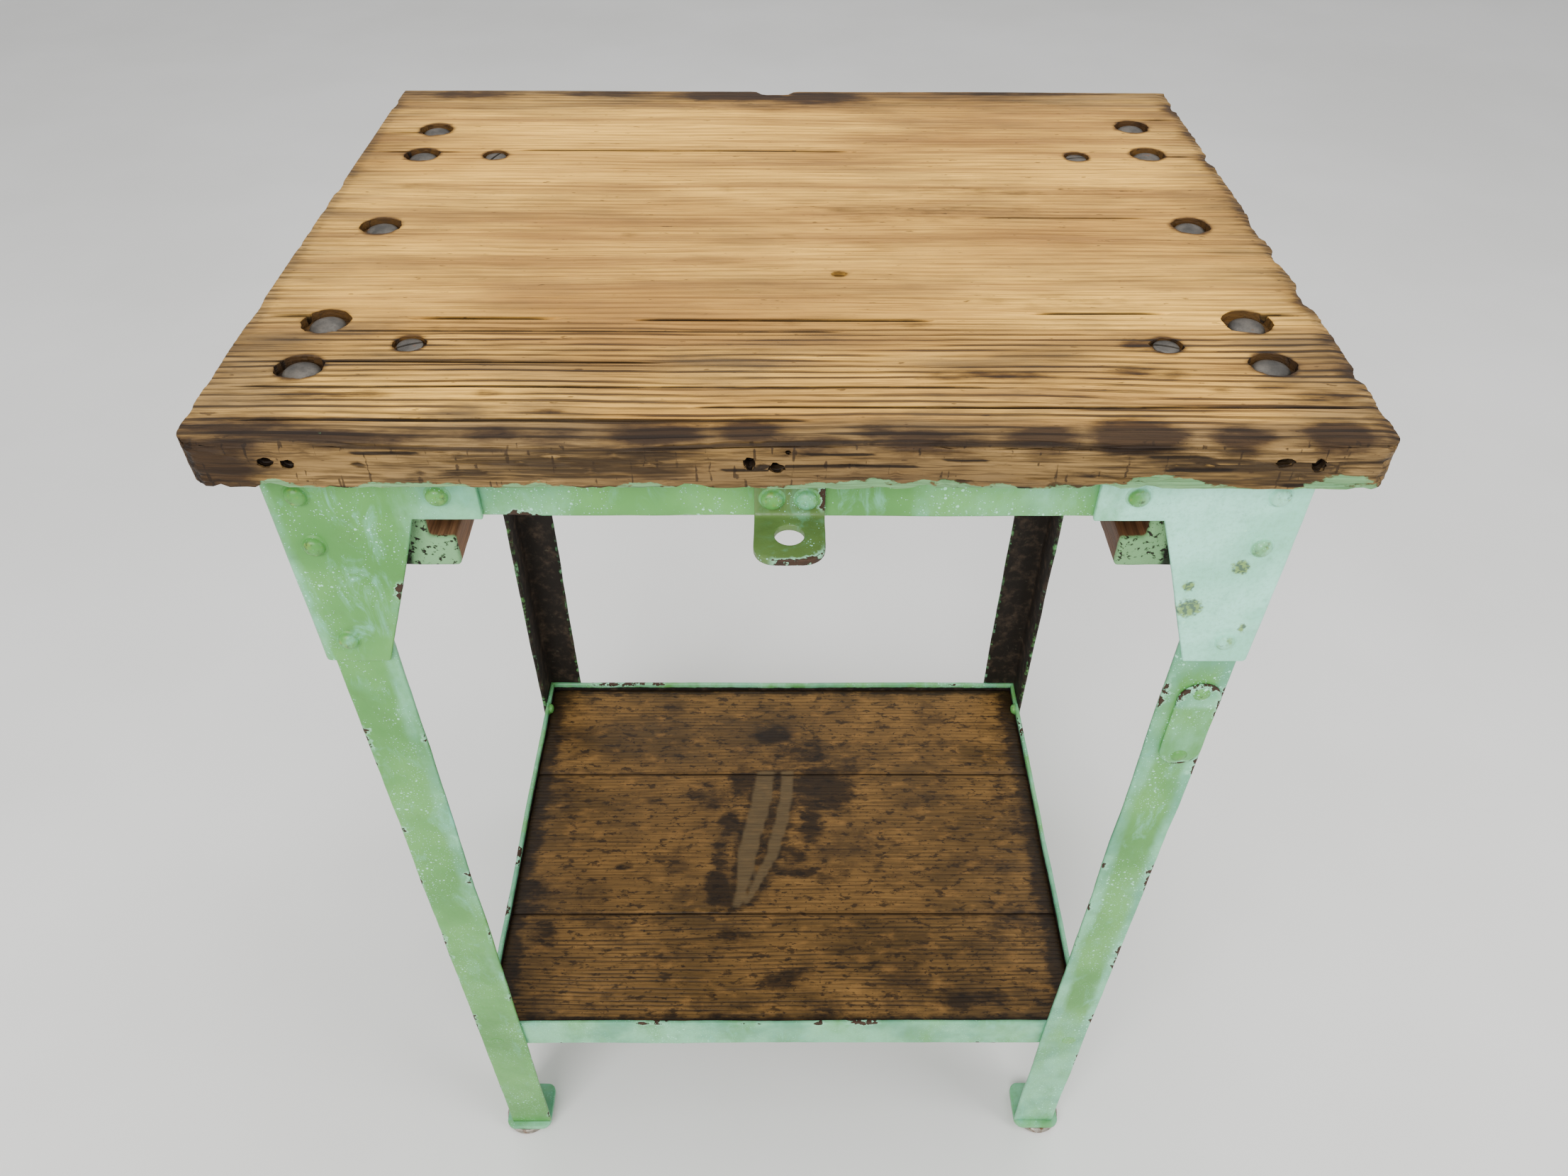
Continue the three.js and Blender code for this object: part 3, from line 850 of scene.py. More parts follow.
def make_bolts(steel):
    blank = bolt_with_nut()
    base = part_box("top_bolt_left_front")[1].z - BOLT_HEAD
    for count, (side, row) in enumerate(
        (side, row)
        for side in ("left", "right")
        for row in ("front", "front_inner", "middle", "back_inner", "back")
    ):
        node = f"top_bolt_{side}_{row}"
        x, y, _ = middle_of(node)
        bolt = duplicate(blank, f"carriage_bolt_{side}_{row}")
        tilt = Matrix.Rotation(math.radians(2.5 * math.sin(count * 2.1)), 4, "X")
        turn = Matrix.Rotation(count * 1.3, 4, "Z")
        put(bolt, Matrix.Translation((x, y, base)) @ tilt @ turn)
        lump(bolt, hammer_marks, 0.5 * MM)
        lump(bolt, paint_lumps, 0.25 * MM)
        smooth(bolt, 45)
        settle(bolt, "bolt_steel", steel, node)
    bpy.data.objects.remove(blank)


SCREW_TURNS = {"left_front": 0.42, "left_back": 1.2, "right_front": -0.3, "right_back": 0.1}
SLOT_LOW = (-9 * MM, -0.85 * MM, -1.5 * MM)
SLOT_HIGH = (9 * MM, 0.85 * MM, 2 * MM)


def make_screws(steel):
    blank = turned("screw_blank", WOOD_SCREW, 32)
    slot = block("slot_cutter", SLOT_LOW, SLOT_HIGH)
    apply_modifier(blank, "BOOLEAN", object=slot, operation="DIFFERENCE", solver="EXACT")
    bpy.data.objects.remove(slot)
    for place, turn in SCREW_TURNS.items():
        x, y, _ = middle_of(f"runner_screw_{place}")
        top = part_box(f"runner_screw_{place}")[1].z
        screw = duplicate(blank, f"wood_screw_{place}")
        put(screw, Matrix.Translation((x, y, top)) @ Matrix.Rotation(turn, 4, "Z"))
        lump(screw, paint_lumps, 0.2 * MM)
        smooth(screw, 40)
        settle(screw, "bolt_steel", steel, f"runner_screw_{place}")
    bpy.data.objects.remove(blank)


# ---- Hasp, badge and feet ----


HASP_BEND = 3 * MM
EYE_RADIUS = 8.25 * MM
EYE_REACH = 21 * MM  # from the front of the frame to the middle of the eye


def bent_strap(low, high, tab_top):
    """A strap that comes down the rail, then bends forwards into a tab with round corners."""
    upright = high.z - tab_top - HASP_BEND
    face = high.y - PLATE
    middle = (0, face, high.z - upright / 2)
    strap = upright_sheet("hasp_strap", middle, high.x - low.x, upright)
    open_mesh(strap, "EDGE")
    choose_edges(strap, lambda middle, way: middle.z < tab_top + HASP_BEND + 1e-5)
    centre = (0, face - HASP_BEND, tab_top + HASP_BEND)
    bpy.ops.mesh.spin(steps=6, angle=QUARTER, center=centre, axis=(1, 0, 0))
    reach = face - HASP_BEND - low.y
    bpy.ops.mesh.extrude_region_move(TRANSFORM_OT_translate={"value": (0, -reach, 0)})
    close_mesh()
    face_outwards(strap)
    flip_if_backwards(strap)
    apply_modifier(strap, "SOLIDIFY", thickness=PLATE, offset=-1)
    bevel_edges(
        strap,
        lambda middle, way: abs(way.z) > 0.99 and middle.y < low.y + 1e-4,
        12 * MM,
        8,
    )
    return strap


def make_hasp(paint):
    low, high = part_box("padlock_hasp")
    tab_top = low.z + PLATE
    strap = bent_strap(low, high, tab_top)
    middle = (0, FRAME_FRONT - EYE_REACH, tab_top)
    bpy.ops.mesh.primitive_cylinder_add(
        vertices=40, radius=EYE_RADIUS, depth=0.03, location=middle
    )
    eye = named("eye_cutter")
    apply_place(eye)
    apply_modifier(strap, "BOOLEAN", object=eye, operation="DIFFERENCE", solver="EXACT")
    bpy.data.objects.remove(eye)
    lines = crisp_edges(strap)
    soften(strap, 0.7 * MM, 2)
    for axis in (0, 1, 2):
        slice_evenly(strap, axis, 4.5 * MM)
    note_edges(strap, lines)
    weather_steel(strap, mint_on_top_rails)
    return settle(strap, "green_paint", paint, "padlock_hasp")


def make_badge(paint):
    low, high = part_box("badge_plate")
    radius = (high.x - low.x) / 2
    straight = (high.z - low.z) - 2 * radius
    middle_z = low.z + radius
    bpy.ops.mesh.primitive_cylinder_add(
        vertices=50,
        radius=radius,
        depth=high.y - low.y,
        rotation=(QUARTER, 0, 0),
        location=(*middle_of("badge_plate")[:2], middle_z),
    )
    badge = named("oval_badge")
    apply_place(badge)
    open_mesh(badge, "VERT")
    mesh = bmesh.from_edit_mesh(badge.data)
    choose_none(mesh)
    for vert in mesh.verts:
        if vert.co.z > middle_z:
            vert.select_set(True)
    bmesh.update_edit_mesh(badge.data)
    bpy.ops.transform.translate(value=(0, 0, straight))
    close_mesh()
    lines = crisp_edges(badge)
    soften(badge, 0.6 * MM, 2)
    slice_evenly(badge, 0, 4 * MM)
    slice_evenly(badge, 2, 4 * MM)
    note_edges(badge, lines)
    weather_steel(badge, mint_on_badge, 0.3 * MM)
    return settle(badge, "green_paint", paint, "badge_plate")


def make_feet(paint, glide_steel):
    glide_blank = turned("glide_blank", GLIDE, 48)
    for corner in CORNERS:
        low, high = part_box(f"foot_plate_{corner}")
        plate = block(f"foot_{corner}", low, high)
        bevel_edges(plate, lambda middle, way: abs(way.z) > 0.99, 9 * MM, 6)
        lines = crisp_edges(plate)
        soften(plate, 0.9 * MM, 2)
        for axis in (0, 1):
            slice_evenly(plate, axis, 4.5 * MM)
        note_edges(plate, lines)
        weather_steel(plate, lambda place: 0.6, 0.6 * MM)
        settle(plate, "mint_paint", paint, f"foot_plate_{corner}")
        x, y, _ = middle_of(f"glide_{corner}")
        glide = duplicate(glide_blank, f"glide_disc_{corner}")
        put(glide, Matrix.Translation((x, y, 0)))
        smooth(glide, 50)
        settle(glide, "glide_steel", glide_steel, f"glide_{corner}")
    bpy.data.objects.remove(glide_blank)


# ---- The plank top ----

BOLT_SPOTS = [
    (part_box(node)[0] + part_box(node)[1]) / 2 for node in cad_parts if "top_bolt" in node
]
SCREW_SPOTS = [
    (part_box(node)[0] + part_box(node)[1]) / 2 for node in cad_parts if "runner_screw" in node
]
RECESS_FLOOR = TOP_OF_BENCH - 5.7 * MM
SCREW_FLOOR = TOP_OF_BENCH - 3.4 * MM
OLD_HOLE = Vector((32 * MM, -58 * MM, TOP_OF_BENCH - 6 * MM))
TORN_ROW = -117 * MM  # the bolts here stand in wider, torn holes
HALF_TOP = 315.0
FRONT_OF_TOP = -238.0
BACK_OF_TOP = 259.0

# Splits along the grain of the top, in millimetres: Y, from X, to X, depth and width.
SPLITS = [
    (-111.0, -316, -262, 7.0, 2.4),
    (-113.5, -225, -128, 4.0, 1.9),
    (-115.0, -100, 92, 3.0, 1.6),
    (-106.5, 136, 232, 2.5, 1.4),
    (-108.0, 262, 316, 4.0, 1.8),
    (-128.0, -290, 40, 1.6, 1.1),
    (-161.0, -296, -64, 1.8, 1.2),
    (-186.0, -310, 120, 1.6, 1.1),
    (-205.0, -60, 312, 1.8, 1.2),
    (-217.0, -300, 20, 2.2, 1.5),
    (131.0, -316, -232, 3.0, 1.7),
    (134.5, -211, 57, 2.2, 1.4),
    (126.5, 268, 316, 3.0, 1.6),
    (198.0, 268, 316, 2.5, 1.4),
    (168.0, -316, -250, 2.0, 1.2),
    (22.0, 120, 250, 1.0, 0.8),
]

# Burnt and oil-black patches on the top: X, Y, half length, half width and strength.
TOP_PATCHES = [
    (-152, -229, 16, 7, 0.8), (-123, -231, 20, 6, 0.7), (-69, -229, 24, 9, 1.1),
    (-21, -226, 17, 9, 1.1), (8, -236, 30, 6, 0.7), (45, -228, 14, 7, 0.8),
    (68, -233, 28, 8, 1.0), (131, -230, 22, 8, 1.05), (179, -230, 22, 13, 1.25),
    (233, -231, 16, 9, 1.0), (283, -229, 19, 11, 1.15), (-285, -224, 40, 9, 0.75),
    (-243, -231, 60, 6, 0.9), (-203, -228, 30, 5, 0.6), (113, -174, 34, 5, 0.72),
    (86, -175, 10, 5, 0.6), (190, -170, 16, 5, 0.68), (213, -173, 9, 4, 0.6),
    (209, -141, 17, 6, 0.85), (197, -141, 8, 5, 0.95), (263, -184, 12, 6, 0.55),
    (291, -195, 20, 7, 0.7), (234, -188, 7, 4, 0.5), (-254, -194, 22, 4, 0.62),
    (-225, -193, 14, 4, 0.6), (-162, -193, 8, 3, 0.6), (-128, -210, 9, 3, 0.62),
    (32, -58, 5, 4, 0.8), (73, -119, 9, 5, 0.45), (-105, -6, 7, 4, 0.4),
    (-43, 68, 6, 4, 0.38), (-2, -6, 5, 3, 0.4), (2, -118, 6, 4, 0.38),
    (-42, 250, 46, 12, 1.15), (24, 245, 36, 13, 1.05), (60, 243, 14, 6, 0.6),
    (-259, 250, 40, 11, 0.85), (-150, 253, 46, 8, 0.8), (190, 255, 66, 5, 0.7),
    (-262, 71, 16, 6, 0.35), (160, -92, 60, 8, 0.32), (90, 30, 90, 14, 0.3),
    (140, 62, 80, 8, 0.34), (-40, 226, 70, 10, 0.3), (-200, -130, 40, 14, 0.25),
]

# Old nail holes in the front face: X, Z, half length, half height.
NAIL_HOLES = [
    (-270, 886, 4.5, 3.2), (-259, 885, 3.6, 3.0), (-21, 886, 3.2, 4.0), (-7, 883, 4.6, 3.2),
    (-1, 893, 1.6, 1.5), (256, 887, 5.6, 3.0), (274, 885, 3.8, 4.2),
]


def taper(x, start, stop, run=26.0):
    """0 outside a stretch, 1 inside it, eased at both ends."""
    return smoothstep(0, run, x - start) * smoothstep(0, run, stop - x)


def ragged_cutter(name, x, y, radius, floor, seed, tear=1.12):
    """A torn round hole, longer along the grain, with a pilot hole below it."""
    bpy.ops.mesh.primitive_cylinder_add(
        vertices=44, radius=radius * MM, depth=0.02, location=(0, 0, 0.01)
    )
    cutter = named(name)
    apply_place(cutter)
    for vert in cutter.data.vertices:
        angle = math.atan2(vert.co.y, vert.co.x)
        wide = 1 + 0.11 * rough(math.cos(angle) * 2.2, math.sin(angle) * 2.2, 0, seed)
        wide += 0.05 * rough(math.cos(angle) * 7, math.sin(angle) * 7, 0, seed + 9)
        lean = 1.06 if vert.co.z > 0.005 else 0.96
        vert.co.x *= wide * lean * (tear + 0.16 * rough(seed, 3.3))
        vert.co.y *= wide * lean
    open_mesh(cutter)
    choose_faces(cutter, lambda middle, normal: normal.z < -0.9)
    bpy.ops.mesh.extrude_region_move(TRANSFORM_OT_translate={"value": (0, 0, -0.2 * MM)})
    narrow = min(0.9, 4.4 / radius)
    bpy.ops.transform.resize(value=(narrow, narrow, 1), center_override=(0, 0, 0))
    pilot = {"value": (0, 0, -34 * MM)}
    bpy.ops.mesh.extrude_region_move(TRANSFORM_OT_translate=pilot)
    close_mesh()
    return put(cutter, Matrix.Translation((x, y, floor)))


def nail_cutter(name, x, z, half_length, half_height, front):
    bpy.ops.mesh.primitive_uv_sphere_add(segments=14, ring_count=8, radius=1, location=(0, 0, 0))
    cutter = named(name)
    for vert in cutter.data.vertices:
        wide = 1 + 0.3 * rough(vert.co.x * 2, vert.co.z * 2, vert.co.y, x)
        vert.co.x *= half_length * MM * wide
        vert.co.y *= 9 * MM
        vert.co.z *= half_height * MM * wide
    return put(cutter, Matrix.Translation((x * MM, front, z * MM)))


def cut_holes(board, cutters):
    tools = join("hole_cutters", *cutters)
    face_outwards(tools)
    apply_modifier(board, "BOOLEAN", object=tools, operation="DIFFERENCE", solver="EXACT")
    bpy.data.objects.remove(tools)


def within(low, high, spot, margin=10 * MM):
    return low.y - margin < spot.y < high.y + margin


def top_cutters(low, high):
    made = []
    for count, spot in enumerate(BOLT_SPOTS):
        if within(low, high, spot):
            name = f"bolt_hole_{count}"
            radius = 13.4 if abs(spot.y - TORN_ROW) < 12 * MM else 11.7
            made.append(ragged_cutter(name, spot.x, spot.y, radius, RECESS_FLOOR, count * 3.7))
    for count, spot in enumerate(SCREW_SPOTS):
        if within(low, high, spot, 0):
            name, seed = f"screw_hole_{count}", count * 5.1 + 40
            made.append(ragged_cutter(name, spot.x, spot.y, 8.3, SCREW_FLOOR, seed, 1.2))
    if low.y < -0.2:
        for count, (x, z, length, height) in enumerate(NAIL_HOLES):
            made.append(nail_cutter(f"nail_hole_{count}", x, z, length, height, low.y))
    if within(low, high, OLD_HOLE, 0):
        made.append(ragged_cutter("old_hole", OLD_HOLE.x, OLD_HOLE.y, 3.6, OLD_HOLE.z, 77, 1.5))
    return made


def top_spot(place):
    """A point of the top in millimetres, and how near it is to each side of the top."""
    x, y, z = place.x / MM, place.y / MM, place.z / MM
    from_top = TOP_OF_BENCH / MM - z
    from_front = y - FRONT_OF_TOP
    return SimpleNamespace(
        x=x,
        y=y,
        z=z,
        side=1 if x > 0 else -1,
        from_top=from_top,
        from_under=z - UNDER_TOP / MM,
        from_front=from_front,
        from_back=BACK_OF_TOP - y,
        from_end=HALF_TOP - abs(x),
        face=1 - smoothstep(0, 8, from_top),
        facing=1 - smoothstep(0, 9, from_front),
        coarse=1 - smoothstep(100, 135, from_front),
    )


def raised_grain(at):
    """How the top face rises and sinks with its grain and splits, and the note of its splits."""
    relief = 0.28 * at.coarse + 0.1
    rise = -relief * (0.5 + 0.5 * rough(at.x / 70, at.y / 2.3)) * at.face
    rise -= 0.8 * (0.5 + 0.5 * rough(at.x / 120, at.y / 45, 0, 5)) * at.face
    split = 0.0
    for row, start, stop, depth, width in SPLITS:
        beside = abs(at.y - row)
        if beside < width * 0.6 and at.face > 0.5:
            waver = smoothstep(-0.35, 0.1, rough(at.x / 17, row))
            gape = taper(at.x, start, stop) * (0.6 + 0.4 * waver)
            rise -= depth * gape * at.face
            split = max(split, gape)
        elif beside < width * 1.1 and at.face > 0.5:
            split = max(split, 0.36 * taper(at.x, start, stop))
    return rise, split


def weathered_front(at):
    """How the front face has lost its softer rings and its lower edge, and its own splits."""
    if at.facing <= 0:
        return 0.0, 0.0, 0.0
    ring = rough(at.x / 55, at.z * 0.61, 0, 11) + 0.5 * rough(at.x / 14, at.z * 0.9, 0, 17)
    back = at.facing * (1.2 + 1.5 * ring)
    back += at.facing * 1.2 * smoothstep(0.32, 0.6, rough(at.x / 9, at.z / 6, 0, 23))
    chip = 2.4 * smoothstep(0.2, 0.6, rough(at.x / 15, 2.5)) + 1.2 * rough(at.x / 5, 8.5)
    rise = max(0, chip) * (1 - smoothstep(0, 8, at.from_under)) * at.facing
    line = smoothstep(0.3, 0.5, rough(at.x / 60, at.z * 1.15, 0, 19))
    return back, rise, 0.8 * at.facing * line * smoothstep(2, 5, at.from_top)


def torn_end(at):
    """How the ends are torn in and down, most at the right."""
    tear_depth = 2.3 if at.side > 0 else 1.1
    fibre = 0.5 + 0.5 * rough(at.y / 2.4, at.z / 5, 0, 3 + at.side)
    bite = smoothstep(0.05, 0.6, rough(at.y / 19, at.z / 40, 0, 41 + at.side))
    end = 1 - smoothstep(0, 7, at.from_end)
    drop = end * at.face * (1.3 + 1.3 * at.side)
    drop *= 0.5 + 0.5 * rough(at.y / 8, at.side * 2.0)
    return end * tear_depth * (0.55 * fibre + 1.35 * bite), drop


def rounded_over(radius, one_gap, other_gap):
    """How far a point is pulled in from each of two faces where their edge is rounded."""
    one, other = radius - one_gap, radius - other_gap
    reach = math.hypot(one, other)
    if one <= 0 or other <= 0 or reach <= radius:
        return 0.0, 0.0
    pull = 1 - radius / reach
    return one * pull, other * pull


def sagged_front(at):
    """How far the top face has worn down towards its front edge."""
    return max(0, math.exp(-at.from_front / 14) * (1.2 + 1.6 * rough(at.x / 60, 31.5))) * at.face


def bitten_back(at):
    """How far in the back edge is: one bite a little left of its middle, and wear all along."""
    bite = smoothstep(17, 9, abs(at.x + 8 + 3 * rough(at.z / 9, 0.5)))
    wear = 0.8 * (0.5 + 0.5 * rough(at.x / 12, at.z / 5, 0, 61))
    wear *= 1 - smoothstep(0, 4, at.from_back)
    return 7.5 * bite * (1 - smoothstep(0, 14, at.from_back)) + wear


def in_nail_hole(at):
    if not 1.5 < at.from_front < 30:
        return False
    return any(
        max(abs(at.x - x) - half_length, abs(at.z - z) - half_height) < 1.5
        for x, z, half_length, half_height in NAIL_HOLES
    )


def patch_stain(x, y, patches, core):
    """The strongest patch at a point. Each fades from its core to nearly twice its size."""
    stain = 0.0
    for mark_x, mark_y, half_x, half_y, strength in patches:
        away = math.hypot((x - mark_x) / half_x, (y - mark_y) / half_y)
        if away < 1.9:
            stain = max(stain, strength * (1 - smoothstep(core, 1.9, away)))
    return stain


def stain_on_top(at):
    stain = patch_stain(at.x, at.y, TOP_PATCHES, 0.25)
    for spots, rim in ((BOLT_SPOTS, 11.5), (SCREW_SPOTS, 8.0)):
        for spot in spots:
            away = math.hypot(at.x - spot.x / MM, at.y - spot.y / MM)
            if away < 24:
                around = 0.95 * (1 - smoothstep(rim, rim + 5, away))
                stain = 1.4 if at.from_top > 0.8 else max(stain, around)
    stain *= 1 - 0.85 * smoothstep(6, 13, at.from_top) * at.facing
    end_rim = (1 - smoothstep(2, 24, at.from_end)) * (0.75 if at.side > 0 else 0.42)
    stain = max(stain, end_rim * (0.6 + 0.6 * rough(at.y / 26, at.side * 7.0)) * 1.25)
    if at.side < 0:
        corner = (1 - smoothstep(22, 66, at.from_end)) * (1 - smoothstep(0, 16, at.from_front))
        stain = max(stain, 0.95 * corner)
    return stain


def wear_on_top(at):
    return max(
        1 - smoothstep(6, 36, at.from_front),
        0.78 * (1 - smoothstep(4, 75, at.from_back)),
        0.8 * (1 - smoothstep(0, 22, at.from_end)),
        0.78 * (1 - smoothstep(20, 110, at.from_end)) * at.coarse,
        0.5 * (1 - smoothstep(10, 80, at.from_end)),
        0.74 * at.coarse * (0.55 + 0.45 * rough(at.x / 90, at.y / 30, 0, 71)),
    )


def green_on_top(at):
    """The frame's paint, smeared up the lower edge of the front face in three high places."""
    high = 1.6 + 5.5 * rough(at.x / 26, 81.5)
    high += 5 * taper(at.x, 0, 78, 30)
    high += 6 * taper(at.x, 160, 235, 30) + 4 * taper(at.x, 268, 312, 14)
    green = at.facing * (1 - smoothstep(high - 2, high + 2, at.from_under))
    return green * taper(at.x, -284, 318, 10)


def wear_top(place):
    """Where one point of a top board has worn to, and its notes for the material."""
    at = top_spot(place)
    grain_rise, split = raised_grain(at)
    front_back, front_rise, front_split = weathered_front(at)
    end_in, end_drop = torn_end(at)
    corner_in, corner_back = rounded_over(13 if at.side < 0 else 10, at.from_end, at.from_front)
    edge_radius = 7 + 2.5 * rough(at.x / 35, 51.5)
    edge_drop, edge_back = rounded_over(edge_radius, at.from_top, at.from_front)
    moved = Vector(
        (
            -at.side * (end_in + corner_in),
            front_back + corner_back + edge_back - bitten_back(at),
            grain_rise + front_rise - sagged_front(at) - end_drop - edge_drop,
        )
    )
    split = 1.0 if in_nail_hole(at) else max(split, front_split)
    notes = stain_on_top(at), split, wear_on_top(at), green_on_top(at), at.coarse, at.facing
    return place + moved * MM, *notes


def wear_points(board, rule):
    """Moves every point by its rule, and notes what the rule says for the materials."""
    names = ("stain", "split", "worn", "green", "coarse", "facing")
    notes = {name: [] for name in names}
    for vert in board.data.vertices:
        vert.co, *values = rule(vert.co)
        for name, value in zip(names, values):
            notes[name].append(value)
    for name in names:
        note(board, name, notes[name])


def make_top_boards(wood):
    rows = {"front": (11, 9), "middle": (11, 11), "back": (11, 9)}
    for name, parts in rows.items():
        node = f"top_board_{name}"
        low, high = box_of(node)
        board = block(f"top_plank_{name}", low, high)
        divide(board, 0, 11, 13)
        divide(board, 1, *parts)
        divide(board, 2, 15 if name == "front" else 5)
        for row, *_, width in SPLITS:
            if low.y + 2 * MM < row * MM < high.y - 2 * MM:
                for side in (-1, -0.5, 0.5, 1):
                    slice_at(board, (0, (row + side * width) * MM, 0), (0, 1, 0))
        cut_holes(board, top_cutters(low, high))
        slice_at(board, (0, 0, TOP_OF_BENCH - 1.1 * MM), (0, 0, 1))
        wear_points(board, wear_top)
        smooth(board, 38)
        settle(board, "top_wood", wood, node)


# ---- The shelf ----

# Black patches on the shelf, as on the top.
SHELF_PATCHES = [
    (25, 112, 44, 22, 0.66), (-14, 140, 20, 15, 0.95), (45, 64, 34, 30, 1.05), (30, 14, 14, 22, 0.95),
    (12, -24, 14, 14, 0.8), (18, -46, 24, 6, 0.9), (-47, 74, 15, 18, 0.95), (-58, 16, 11, 18, 0.95),
    (-66, -22, 10, 22, 0.7), (-68, -62, 13, 22, 1.05), (-52, -78, 14, 12, 0.8), (-80, 50, 22, 26, 0.55),
    (-5, -165, 22, 12, 0.85), (-49, -118, 14, 8, 0.7), (60, 100, 40, 16, 0.5),
    (171, -186, 22, 10, 0.8), (200, -182, 14, 10, 0.7), (230, -100, 40, 30, 0.4),
    (-250, -110, 30, 22, 0.55), (-262, -70, 18, 26, 0.8), (-240, 60, 18, 30, 0.55),
    (248, 40, 20, 50, 0.45), (-200, 120, 40, 12, 0.35), (120, 130, 50, 10, 0.3),
    (100, -40, 8, 6, 0.6), (140, -28, 7, 5, 0.6), (118, -66, 7, 4, 0.5), (-168, -38, 9, 5, 0.6),
    (-190, 20, 8, 5, 0.5), (-120, -60, 6, 5, 0.5), (64, 96, 10, 5, 0.5),
]

# The two strokes of a pale scrape across the middle plank: half width, then points in X and Y.
SCRAPES = [
    (11.5, [(-19, 86), (-23, 50), (-31, 14), (-38, -23), (-42, -59), (-48, -84)]),
    (8.0, [(6, 86), (3, 50), (-3, 14), (-12, -23), (-24, -50), (-36, -78)]),
]


def distance_to_stroke(x, y, points):
    nearest = 1e9
    for (ax, ay), (bx, by) in zip(points, points[1:]):
        wx, wy = bx - ax, by - ay
        share = min(1, max(0, ((x - ax) * wx + (y - ay) * wy) / (wx * wx + wy * wy)))
        nearest = min(nearest, math.hypot(x - ax - share * wx, y - ay - share * wy))
    return nearest


def wear_shelf(place, low, high):
    """As wear_top, for a shelf plank. The note of green carries the scrape instead."""
    x, y = place.x / MM, place.y / MM
    from_top = (high.z - place.z) / MM
    from_edge = min(y - low.y / MM, high.y / MM - y)
    from_end = high.x / MM - abs(x)
    face = 1 - smoothstep(0, 6, from_top)
    dz = -0.45 * (0.5 + 0.5 * rough(x / 60, y / 2.6)) * face
    dz -= 0.9 * (0.5 + 0.5 * rough(x / 70, y / 30, 0, 4)) * face
    dz -= 1.1 * (1 - smoothstep(0, 3.2, from_edge)) * face
    dz -= 1.2 * (1 - smoothstep(0, 4, from_end)) * face
    scrape, beside = 0.0, 0.0
    for half, stroke in SCRAPES:
        gap = distance_to_stroke(x, y, stroke)
        width = half * (0.5 + 0.5 * smoothstep(-88, -10, y)) + 1.4 * rough(x / 9, y / 16)
        scrape = max(scrape, 1 - smoothstep(width - 4, width + 1, gap))
        beside = max(beside, 1 - smoothstep(width, width + 12, gap))
    scrape *= smoothstep(-92, -80, y) * (1 - smoothstep(86, 90, y))
    dz -= 1.0 * scrape * face
    stain = 0.66 * beside * (1 - smoothstep(86, 96, abs(y)))
    stain = max(stain, patch_stain(x, y, SHELF_PATCHES, 0.2))
    stain = max(stain, 1.05 * (1 - smoothstep(3, 30, from_end)))
    front_rim = 1 - smoothstep(0, 14, y + 208)
    back_rim = 1 - smoothstep(0, 16, 211 - y)
    stain = max(stain, 0.85 * front_rim, 0.95 * back_rim)
    worn = 0.5 + 0.5 * rough(x / 80, y / 40, 0, 6)
    split = 1 - smoothstep(0, 1.6, from_edge)
    coarse = 0.85 if y < -93 else 0.35
    return place + Vector((0, 0, dz * MM)), stain, split, worn, scrape, coarse, 0.0


def make_shelf(wood):
    rows = {"front": (6, 9), "middle": (8, 9), "back": (6, 9)}
    for name, parts in rows.items():
        node = f"shelf_plank_{name}"
        low, high = box_of(node)
        plank = block(f"shelf_board_{name}", low, high)
        divide(plank, 0, 10, 12)
        divide(plank, 1, *parts)
        divide(plank, 2, 4)
        slice_at(plank, (0, low.y + 1.5 * MM, 0), (0, 1, 0))
        slice_at(plank, (0, high.y - 1.5 * MM, 0), (0, 1, 0))
        wear_points(plank, lambda place: wear_shelf(place, low, high))
        smooth(plank, 45)
        settle(plank, "shelf_wood", wood, node)


# ---- Drawer runners ----


RUNNER_LEDGE = 15 * MM
RUNNER_LEDGE_TOP = 21 * MM
RUNNER_STEP = 8 * MM  # of its ends, which pass below the rails, under its middle
RUNNER_NOTCH = 36 * MM
# How far out from the middle the runners' outer sides turn near black: painted shadow of the gusset and
# rail, along with soot.
SHADE_AND_SOOT_EDGE = 227 * MM


def rabbeted_bar(side, way):
    """A batten with a ledge on its inner side and its top cut down at both ends."""
    low, high = box_of(f"drawer_runner_{side}")
    ledge_top = low.z + RUNNER_LEDGE_TOP
    shoulder = high.z - RUNNER_STEP
    upright_low = Vector((low.x if way < 0 else low.x + RUNNER_LEDGE, low.y, low.z))
    upright_high = Vector((high.x - RUNNER_LEDGE if way < 0 else high.x, high.y, shoulder))
    runner = block(f"rabbeted_runner_{side}", upright_low, upright_high)
    notch_front = FRAME_FRONT + RUNNER_NOTCH
    notch_back = FRAME_BACK - RUNNER_NOTCH
    slice_at(runner, (0, notch_front, 0), (0, 1, 0))
    slice_at(runner, (0, notch_back, 0), (0, 1, 0))
    slice_at(runner, (0, 0, ledge_top), (0, 0, 1))
    open_mesh(runner)
    choose_faces(
        runner, lambda middle, normal: normal.z > 0.9 and notch_front < middle.y < notch_back
    )
    bpy.ops.mesh.extrude_region_move(TRANSFORM_OT_translate={"value": (0, 0, high.z - shoulder)})
    choose_faces(runner, lambda middle, normal: normal.x * way < -0.9 and middle.z < ledge_top)
    ledge = {"value": (-way * RUNNER_LEDGE, 0, 0)}
    bpy.ops.mesh.extrude_region_move(TRANSFORM_OT_translate=ledge)
    close_mesh()
    face_outwards(runner)
    return runner


